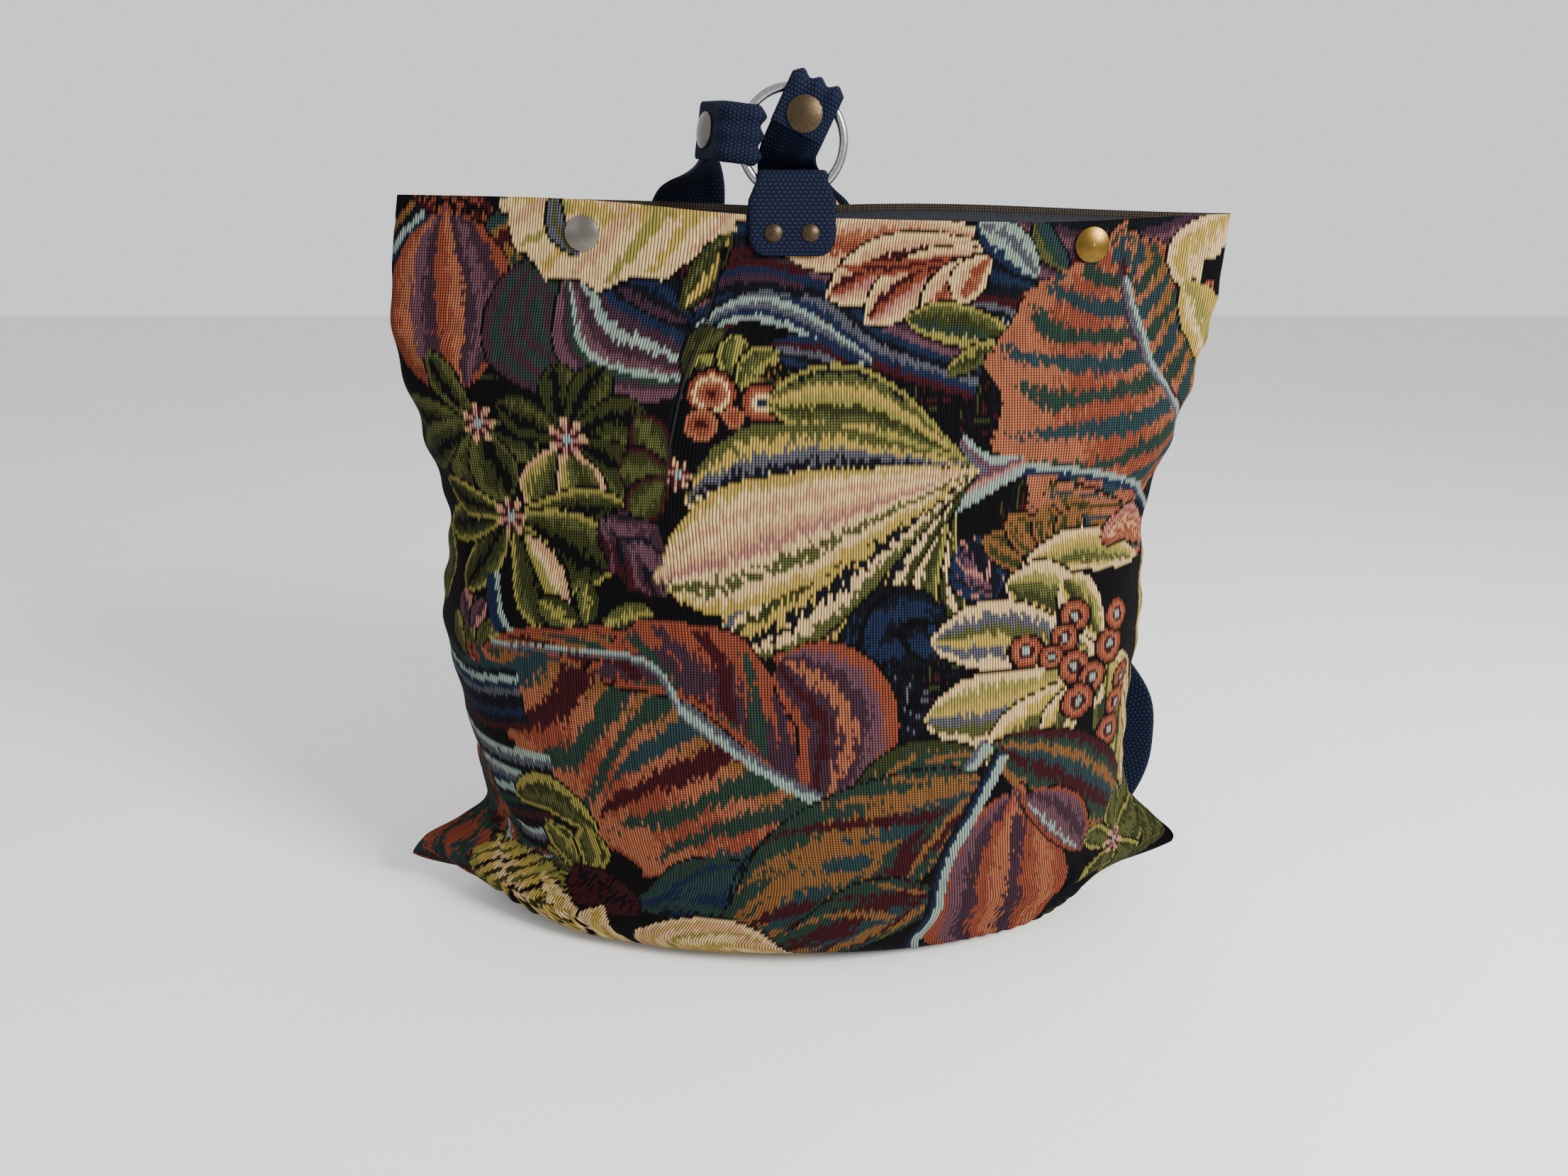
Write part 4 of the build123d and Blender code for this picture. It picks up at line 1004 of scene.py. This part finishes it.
def buildPouch():
    bm = bmesh.new()
    verts = gridMesh(bm, pouch["columns"], pouch["rows"])
    flat = np.array([v.co for v in verts], float)
    u = pouch["left"] + (flat[:, 0] + 1) / 2 * (pouch["right"] - pouch["left"])
    t = pouch["low"] + (flat[:, 1] + 1) / 2 * (pouch["top"] - pouch["low"])
    lift = -pouch["skin"] + np.minimum(lipLift(u, t)[0], 0) * pouch["lipRoom"]
    moveVerts(verts, onSkin(-1, u, t, lift))
    bmesh.ops.recalc_face_normals(bm, faces=bm.faces)
    mesh = closeMesh(bm, "pocketPouch")
    piece = newPiece("pocketPouch", mesh, nylon, "pocket_bag")
    thicken(piece, pouch["thickness"], 1 if mesh.polygons[0].normal.y > 0 else -1)


buildPouch()

bandWeld = 0.001  # points of a band this near each other are one, mm


def bandMesh(name, stations, widths, thickness, columns, bulge=None):
    # a closed flat band: stations are place, across and outward directions along its route
    places, across, outward = stations
    bm = bmesh.new()
    layer = bm.verts.layers.float_vector.new("clothPlace")
    ring = 2 * columns
    verts = gridMesh(bm, ring, len(places) - 1)
    k = np.arange(ring + 1) % ring
    x = np.where(k <= columns, k / columns * 2 - 1, 3 - k / columns * 2)
    face = np.where(k <= columns, 1.0, -1.0)
    rounded = np.sqrt(np.maximum(1 - np.abs(x) ** 12, 0)) * face
    offset = x[None, :] * widths[:, None] / 2
    height = rounded[None, :] * thickness / 2 + (bulge(x) if bulge else 0 * offset)
    points = places[:, None] + across[:, None] * offset[..., None] + outward[:, None] * height[..., None]
    moveVerts(verts, points)
    marks = np.broadcast_arrays(x * widths.max() / 2, runLength(places)[:, None], face)
    for vert, mark in zip(verts, np.stack(marks, axis=-1).reshape(-1, 3)):
        vert[layer] = Vector(mark)
    bmesh.ops.remove_doubles(bm, verts=bm.verts, dist=bandWeld * mm)
    bmesh.ops.holes_fill(bm, edges=[e for e in bm.edges if e.is_boundary], sides=0)
    bmesh.ops.recalc_face_normals(bm, faces=bm.faces)
    return closeMesh(bm, name)


# Pocket facing: the pouch's folded edge, just showing past the left lip
facing = {
    "lowEnd": 13.0, "topEnd": 7.0, "places": 72,
    "edges": ((-3.4, -0.95), (1.7, -0.5)),  # across from the cut, lift
    "thickness": 0.5, "columns": 6,
}


def buildFacing():
    low, top = pocket["low"][1] + facing["lowEnd"], pocket["top"][1] - facing["topEnd"]
    t = np.linspace(low, top, facing["places"])
    inner, outer = [onSkin(-1, slitAt(t) + d, t, np.full_like(t, lift)) for d, lift in facing["edges"]]
    across = outer - inner
    widths = np.linalg.norm(across, axis=1)
    across /= widths[:, None]
    places = (inner + outer) / 2
    way = np.gradient(places, axis=0)
    outward = np.cross(way / np.linalg.norm(way, axis=1, keepdims=True), across)
    stations = places, across, outward
    mesh = bandMesh("pocketFacing", stations, widths, facing["thickness"], facing["columns"])
    newPiece("pocketFacing", mesh, facingCloth, "pocket_binding")
    print("pocket pouch and facing sewn")


buildFacing()


def routeStations(places, directions, widths, step):
    # even stations on a smooth line through the route's places
    places, directions = np.array(places, float), np.array(directions, float)
    s = runLength(places)
    slope = np.gradient(places, s, axis=0)
    at = np.linspace(0, s[-1], int(s[-1] / step) + 1)
    i = np.clip(np.searchsorted(s, at, side="right") - 1, 0, len(s) - 2)
    span = (s[i + 1] - s[i])[:, None]
    f = (at - s[i])[:, None] / span
    line = curveAt(places, slope, i, f, span)
    way = np.gradient(line, axis=0)
    way /= np.linalg.norm(way, axis=1, keepdims=True)
    side = np.stack([np.interp(at, s, directions[:, k]) for k in range(3)], axis=1)
    side -= way * np.sum(side * way, axis=1, keepdims=True)
    side /= np.linalg.norm(side, axis=1, keepdims=True)
    return at, (line, side, np.cross(way, side)), np.interp(at, s, np.array(widths, float))


# Webbing: navy spun-polyester straps woven in a coarse basket; the short floats carry a painted highlight,
# pale blue on their raised tops.
def makeWebbing():
    material, tree = newMaterial("navyWebbing")
    size = {"float": 2.5, "pitch": 1.6}  # mm across and along
    place = addNode(tree, "Attribute", attribute_name="clothPlace").outputs["Vector"]
    apart = addNode(tree, "SeparateXYZ", {0: place})
    y = addNode(tree, "Math", {0: apart.outputs[1], 1: 1 / size["pitch"]}, operation="MULTIPLY")
    row = addNode(tree, "Math", {0: y}, operation="FLOOR")
    half = addNode(tree, "Math", {0: row, 1: 0.5}, operation="MULTIPLY")
    x = addNode(tree, "Math", {0: apart.outputs[0], 1: 1 / size["float"], 2: half}, operation="MULTIPLY_ADD")
    ridges = {0: waveOf(tree, x, 1.0), 1: waveOf(tree, y, 1.0)}
    floats = addNode(tree, "Math", ridges, operation="MULTIPLY")
    fuzz = addNode(tree, "TexNoise", {"Vector": place, "Scale": 1.4, "Detail": 3.0})
    worn = addNode(tree, "TexNoise", {"Vector": place, "Scale": 0.06, "Detail": 3.0})
    height = addNode(tree, "Math", {0: fuzz, 1: 0.5, 2: floats}, operation="MULTIPLY_ADD")
    tone = addNode(tree, "MapRange", {0: height, 1: 0.45, 2: 1.25, 3: 0.0, 4: 1.0})
    base = addNode(tree, "Mix", {0: worn, 6: linear("#04060b"), 7: linear("#070b17")}, data_type="RGBA")
    # painted highlight: the raised floats mixed up to pale blue, the low weave left at the dark navy
    colour = addNode(tree, "Mix", {0: tone, 6: base.outputs[2], 7: linear("#121c38")}, data_type="RGBA")
    bump = addNode(tree, "Bump", {"Height": height, "Strength": 0.9, "Distance": 0.5 * mm})
    return closeMaterial(material, tree, {
        "Base Color": colour.outputs[2], "Roughness": 0.8, "Normal": bump, "IOR": 1.5,
        "Specular IOR Level": 0.1,
    })


# Backing: ochre brushed-cotton tape, a soft nap with a faint cross weave.
def makeTape():
    material, tree = newMaterial("ochreCottonTape")
    place = addNode(tree, "Attribute", attribute_name="clothPlace").outputs["Vector"]
    nap = addNode(tree, "TexNoise", {"Vector": place, "Scale": 0.9, "Detail": 5.0})
    ribs = addNode(tree, "TexWave", {"Vector": place, "Scale": 1.1, "Distortion": 1.5}, bands_direction="Y")
    worn = addNode(tree, "TexNoise", {"Vector": place, "Scale": 0.05, "Detail": 3.0})
    both = addNode(tree, "Math", {0: ribs.outputs[1], 1: 0.4, 2: nap}, operation="MULTIPLY_ADD")
    base = addNode(tree, "Mix", {0: worn, 6: linear("#8e5c14"), 7: linear("#bf8630")}, data_type="RGBA")
    tone = addNode(tree, "MapRange", {0: both, 1: 0.3, 2: 1.0, 3: 0.75, 4: 1.15})
    colour = addNode(tree, "VectorMath", {0: base.outputs[2], "Scale": tone}, operation="SCALE")
    bump = addNode(tree, "Bump", {"Height": both, "Strength": 0.6, "Distance": 0.3 * mm})
    return closeMaterial(material, tree, {
        "Base Color": colour, "Roughness": 0.92, "Normal": bump, "IOR": 1.45, "Sheen Weight": 0.3,
    })


webbing, tape = makeWebbing(), makeTape()

ringPlace = {"centre": np.array([-1.5, -15.4, 373.832]), "radius": 21.9}
foldTurns = [math.radians(turn) for turn in range(-90, 91, 30)]  # half a turn round the ring, in steps
straps = {
    "width": 38.0,
    "gather": 24.0,  # width where they are gathered on the ring
    "thickness": 1.6, "reach": 124.0, "layer": 3.2, "step": 1.6, "columns": 26,
    "lobe": 2.2,  # how far the gathered webbing bulges, and in how many lobes
    "lobes": 3, "lobeFrom": 0.25, "lobeBlur": 7, "lobeReach": 34.0, "backing": 30.0,
    "backingThickness": 1.0, "backingLift": -1.4, "backingBare": 12, "backingColumns": 16,
    "sewnBelow": 140.0, "sewnLift": 0.7,
    # places on the ring: distance from its middle, then lift behind the layer
    "rightTurn": 64.0, "rightFront": (3.5, 11.5, 19.5),
    "rightBack": ((19.5, 0.0), (6.3, 0.0), (3.5, 0.0), (-1.6, 1.6)), "rightOver": 31.0,
    "leftTurn": 172.0, "leftLean": 62.0, "leftBend": (23.9, 6.4), "leftOuter": 9.6, "leftInner": 3.2,
    "leftRuns": (19.0, 10.7, 2.4), "leftHook": 18.0, "leftArch": 19.0,
    "leftTwist": ((0.30, 0.25), (0.55, 0.55), (0.78, 0.85)),  # share of the way, share of the twist
    # runs down the back: across, behind, up, turn towards the side
    "rightRun": (
        (0.045, 0.240, 0.985, 0), (0.100, 0.350, 0.910, 0), (0.170, 0.530, 0.825, 2),
        (0.290, 0.750, 0.720, 6), (0.450, 0.940, 0.610, 12), (0.620, 1.000, 0.490, 20),
        (0.790, 0.870, 0.385, 28), (0.945, 0.640, 0.300, 34), (1.040, 0.440, 0.235, 38),
        (1.010, 0.300, 0.175, 36), (0.920, 0.200, 0.125, 32), (0.820, 0.130, 0.085, 30),
    ),
    "leftRun": (
        (-0.310, 0.310, 0.955, 0), (-0.325, 0.400, 0.895, 0), (-0.365, 0.560, 0.815, -3),
        (-0.440, 0.740, 0.715, -8), (-0.545, 0.890, 0.605, -14), (-0.660, 0.930, 0.490, -20),
        (-0.770, 0.820, 0.385, -27), (-0.850, 0.620, 0.300, -33), (-0.885, 0.440, 0.235, -36),
        (-0.880, 0.310, 0.175, -36), (-0.830, 0.230, 0.125, -32), (-0.740, 0.150, 0.085, -30),
    ),
}


def ringSpot(turn, radial, y):
    angle = math.radians(turn)
    return ringPlace["centre"] + np.array([math.cos(angle) * radial, y, math.sin(angle) * radial])


def ringAcross(turn):
    angle = math.radians(turn)
    return np.array([-math.sin(angle), 0, math.cos(angle)])


def strapRun(rows):
    rows = easeRows(rows, 2)
    places = rows[:, :3] * np.array([sack["halfWidth"], straps["reach"], sack["height"]])
    turn = np.radians(rows[:, 3])
    return list(places), list(np.stack([-np.cos(turn), np.sin(turn), 0 * turn], axis=1))


def rightRoute():
    turn, layer, radius = straps["rightTurn"], straps["layer"], ringPlace["radius"]
    places = [ringSpot(turn, radial, -layer) for radial in straps["rightFront"]]
    places += [ringSpot(turn, radius + layer * math.cos(f), layer * math.sin(f)) for f in foldTurns]
    places += [ringSpot(turn, radial, layer + lift) for radial, lift in straps["rightBack"]]
    count = len(places)
    run, sides = strapRun(straps["rightRun"])
    x, y, z = ringPlace["centre"]
    over = np.array([x, (run[0][1] + y) / 2, (run[0][2] + z) / 2])
    widths = [straps["gather"]] * count + [straps["rightOver"]] + [straps["width"]] * len(run)
    return places + [over] + run, [ringAcross(turn)] * count + [sides[0]] + sides, widths, count


def leftRoute():
    turn, gap = straps["leftTurn"], straps["layer"]
    wide = ringAcross(turn)
    lean = math.radians(straps["leftLean"])
    bends = [lean * b for b in (0, 0.25, 0.5, 0.75, 1)]
    outer, inner = straps["leftOuter"], straps["leftInner"]

    def layer(size, turned, run=0.0):
        radial = straps["leftBend"][0] + size * math.sin(turned) + run * math.cos(turned)
        return radial, straps["leftBend"][1] - size * math.cos(turned) + run * math.sin(turned)

    spots = [layer(outer, lean, run) for run in straps["leftRuns"]]
    spots += [layer(outer, b) for b in reversed(bends)]
    spots += [(straps["leftHook"] - gap * math.cos(f), gap * math.sin(f)) for f in foldTurns]
    spots += [layer(inner, b) for b in bends] + [layer(inner, lean, run) for run in straps["leftRuns"][::-2]]
    places = [ringSpot(turn, radial, y) for radial, y in spots]
    sides, widths = [wide] * len(places), [straps["gather"]] * len(places)
    run, runSides = strapRun(straps["leftRun"])
    leaving = places[-1]
    for way, twist in straps["leftTwist"]:
        arch = np.array([0, 0, straps["leftArch"] * way * (1 - way)])
        places.append(leaving + (run[0] - leaving) * way + arch)
        sides.append(wide * (1 - twist) + runSides[0] * twist)
        widths.append(straps["gather"] + (straps["width"] - straps["gather"]) * way)
    return places + run, sides + runSides, widths + [straps["width"]] * len(run), len(places) - 1


def underPanel(mesh):
    # the sewn end stays in the back panel's thickness
    points = np.array([v.co for v in mesh.vertices]) / mm
    z = np.clip(points[:, 2], 2, sack["height"])
    left, right = [np.interp(z / sack["height"], levels[:, 0], levels[:, k]) for k in (1, 2)]
    across = np.clip(points[:, 0] / (sack["halfWidth"] * np.where(points[:, 0] < 0, left, right)), -1, 1)
    face = sackPoint(1, across, z)[1]
    low = (points[:, 2] < straps["sewnBelow"]) & (np.abs(across) < 0.999)
    points[:, 1] = np.where(low, np.maximum(points[:, 1], face - straps["sewnLift"]), points[:, 1])
    setPoints(mesh, points)


def buildStrap(name, route, node):
    places, sides, widths, backingFrom = route
    at, stations, wide = routeStations(places, sides, widths, straps["step"])
    line, across, outward = stations
    bend = np.gradient(np.gradient(line, axis=0), axis=0)
    tight = np.linalg.norm(bend, axis=1)
    bent = np.where(tight > straps["lobeFrom"] * tight.max(), 1.0, 0.0)
    blur = np.ones(straps["lobeBlur"]) / straps["lobeBlur"]
    onRing = np.linalg.norm(line - ringPlace["centre"], axis=1) < straps["lobeReach"]
    fold = np.convolve(bent, blur, "same") * onRing
    sense = -np.sign(np.sum(bend * outward, axis=1)[np.argmax(fold * tight)])

    def bulge(x):
        wave = 0.5 - 0.5 * np.cos(2 * np.pi * straps["lobes"] * (x * 0.5 + 0.5))
        return sense * straps["lobe"] * fold[:, None] * wave[None, :]

    mesh = bandMesh(name, stations, wide, straps["thickness"], straps["columns"], bulge)
    underPanel(mesh)
    newPiece(name, mesh, webbing, node)
    chords = runLength(np.array(places))
    ends = chords[backingFrom], chords[len(chords) - 1 - straps["backingBare"]]
    start, stop = [int(np.searchsorted(at, end)) for end in ends]
    line, across, outward = [part[start:stop] for part in stations]
    line = line + outward * straps["backingLift"]
    wide = np.full(len(line), straps["backing"])
    mesh = bandMesh(
        name + "Backing", (line, across, outward), wide, straps["backingThickness"], straps["backingColumns"]
    )
    newPiece(name + "Backing", mesh, tape, node.replace("strap", "strap_backing"))
    print("%s laid, %.0f mm long, its backing %.0f mm" % (name, at[-1], at[stop] - at[start]))


buildStrap("strapRight", rightRoute(), "strap_right")
buildStrap("strapLeft", leftRoute(), "strap_left")

# Tab: webbing folded over the ring, one leg outside the front rim and one inside
tabShape = {
    "frontY": -18.5, "backY": -12.3, "low": 327.0, "backLow": 330.0, "spread": 350.0, "top": 358.703,
    "fold": 3.1, "gather": 30.0,
    "round": 9.0,  # its lower end is rounded over this length
    "roundWidth": (0.62, 0.38), "step": 0.8, "columns": 28,
}


def buildTab():
    t = tabShape
    x, y, z = ringPlace["centre"]
    places = [(x, t["frontY"], t["low"]), (x, t["frontY"], t["spread"])]
    places += [(x, y + t["fold"] * math.sin(f), t["top"] + t["fold"] * math.cos(f)) for f in foldTurns]
    places += [(x, t["backY"], t["spread"]), (x, t["backY"], t["backLow"])]
    widths = [straps["width"]] * 2 + [t["gather"]] * len(foldTurns) + [straps["width"]] * 2
    at, stations, wide = routeStations(places, [(1, 0, 0)] * len(places), widths, t["step"])
    end = np.clip(at / t["round"], 0, 1)
    least, more = t["roundWidth"]
    wide = wide * (least + more * np.sqrt(np.maximum(1 - (1 - end) ** 2, 0)))
    mesh = bandMesh("frontTab", stations, wide, straps["thickness"], t["columns"])
    newPiece("frontTab", mesh, webbing, "front_tab")
    print("tab folded over the ring")


buildTab()


# Metals: pressed or turned, with fine scratches and a little tarnish, laid in scattered spots rather than in
# the hollows.
def makeMetal(name, clean, tarnish, roughness, amount):
    material, tree = newMaterial(name)
    grain = {"spots": 1260.0, "scratches": 540.0, "stretch": (1.0, 1.0, 14.0)}
    place = addNode(tree, "TexCoord").outputs["Object"]
    spots = addNode(tree, "TexNoise", {"Vector": place, "Scale": grain["spots"], "Detail": 5.0})
    stretched = addNode(tree, "Mapping", {0: place, 3: grain["stretch"]})
    scratch = addNode(tree, "TexNoise", {"Vector": stretched, "Scale": grain["scratches"], "Detail": 3.0})
    dull = addNode(tree, "MapRange", {0: spots, 1: 0.42, 2: 0.68, 3: 0.0, 4: amount})
    colour = addNode(tree, "Mix", {0: dull, 6: linear(clean), 7: linear(tarnish)}, data_type="RGBA")
    mixed = addNode(tree, "Math", {0: scratch, 1: 0.18, 2: roughness}, operation="MULTIPLY_ADD")
    rough = addNode(tree, "Math", {0: dull, 1: 0.25, 2: mixed}, operation="MULTIPLY_ADD")
    bump = addNode(tree, "Bump", {"Height": scratch, "Strength": 0.15, "Distance": 0.05 * mm})
    return closeMaterial(material, tree, {
        "Base Color": colour.outputs[2], "Metallic": 1.0, "Roughness": rough, "Normal": bump,
    })


metals = {
    "ringSteel": makeMetal("polishedSteelWire", "#8f8f92", "#4c4a47", 0.16, 0.5),
    # nickel is coloured far darker than bare nickel: painted reflection of a dim room
    "nickel": makeMetal("nickelPlatedBrass", "#6a665f", "#4a443c", 0.18, 0.4),
    "brass": makeMetal("agedBrass", "#674f24", "#3a2d14", 0.22, 0.45),
    "antique": makeMetal("antiqueBrass", "#453a2b", "#1d1812", 0.34, 0.5),
}
finishes = {"ring": "ringSteel"}
for where in ("left", "right"):
    for kind in ("rivet", "washer"):
        finishes["tab_%s_%s" % (kind, where)] = "antique"
    for kind in ("cap", "socket", "stud", "eyelet"):
        finishes["rim_snap_%s_%s" % (where, kind)] = "nickel" if where == "left" else "brass"
        finishes["strap_snap_%s_%s" % (where, kind)] = "nickel" if where == "left" else "antique"
for node, finish in finishes.items():
    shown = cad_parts[node]
    shown.data.materials.clear()
    shown.data.materials.append(metals[finish])
print("metal finishes set on", len(finishes), "nodes")


# Stage: pale floor, soft key from the right, fill from the left. Lengths in metres.
stage = {
    "floor": 4.0,
    "sky": "#e6e7ea",
    "skyPower": 1.3, "aim": (0, 0, 0.17),
    "lamps": (  # name, place, size, watts
        ("key", (0.85, -0.8, 0.85), 0.4, 40.0),
        ("fill", (-0.9, -0.8, 0.8), 0.9, 2.0),
        ("top", (0.1, 0.3, 1.6), 0.9, 4.0),
    ),
}


# Painted board: pale, dull and nearly even, so the bag's shadow reads clearly.
def makeFloor():
    material, tree = newMaterial("paleBoard")
    place = addNode(tree, "TexCoord").outputs["Object"]
    mottle = addNode(tree, "TexNoise", {"Vector": place, "Scale": 6.0, "Detail": 3.0})
    colour = addNode(tree, "Mix", {0: mottle, 6: linear("#e2e1de"), 7: linear("#e9e8e6")}, data_type="RGBA")
    return closeMaterial(material, tree, {"Base Color": colour.outputs[2], "Roughness": 0.75})


def buildStage():
    bm = bmesh.new()
    bmesh.ops.create_grid(bm, x_segments=4, y_segments=4, size=stage["floor"])
    mesh = closeMesh(bm, "floor")
    mesh.materials.append(makeFloor())
    floor = newObject("floor", mesh)
    world = bpy.data.worlds.new("studio")
    world.use_nodes = True
    sky = world.node_tree.nodes["Background"]
    sky.inputs[0].default_value = linear(stage["sky"])
    sky.inputs[1].default_value = stage["skyPower"]
    bpy.context.scene.world = world
    for name, place, size, power in stage["lamps"]:
        lamp = bpy.data.lights.new(name, "AREA")
        lamp.size = size
        lamp.energy = power
        light = newObject(name, lamp)
        light.location = place
        light.rotation_euler = (Vector(stage["aim"]) - Vector(place)).to_track_quat("-Z", "Y").to_euler()


def placeCamera():
    view = {"place": (-0.005, -0.5405, 0.341), "pitch": 17.6, "lens": 26.46, "sensor": 36.0, "nearest": 0.01}
    camera = bpy.data.cameras.new("camera")
    camera.lens = view["lens"]
    camera.sensor_width = view["sensor"]
    camera.clip_start = view["nearest"]
    eye = newObject("camera", camera)
    eye.location = view["place"]
    eye.rotation_euler = (math.radians(90 - view["pitch"]), 0, 0)
    bpy.context.scene.camera = eye


buildStage()
placeCamera()
print("stage and camera set")
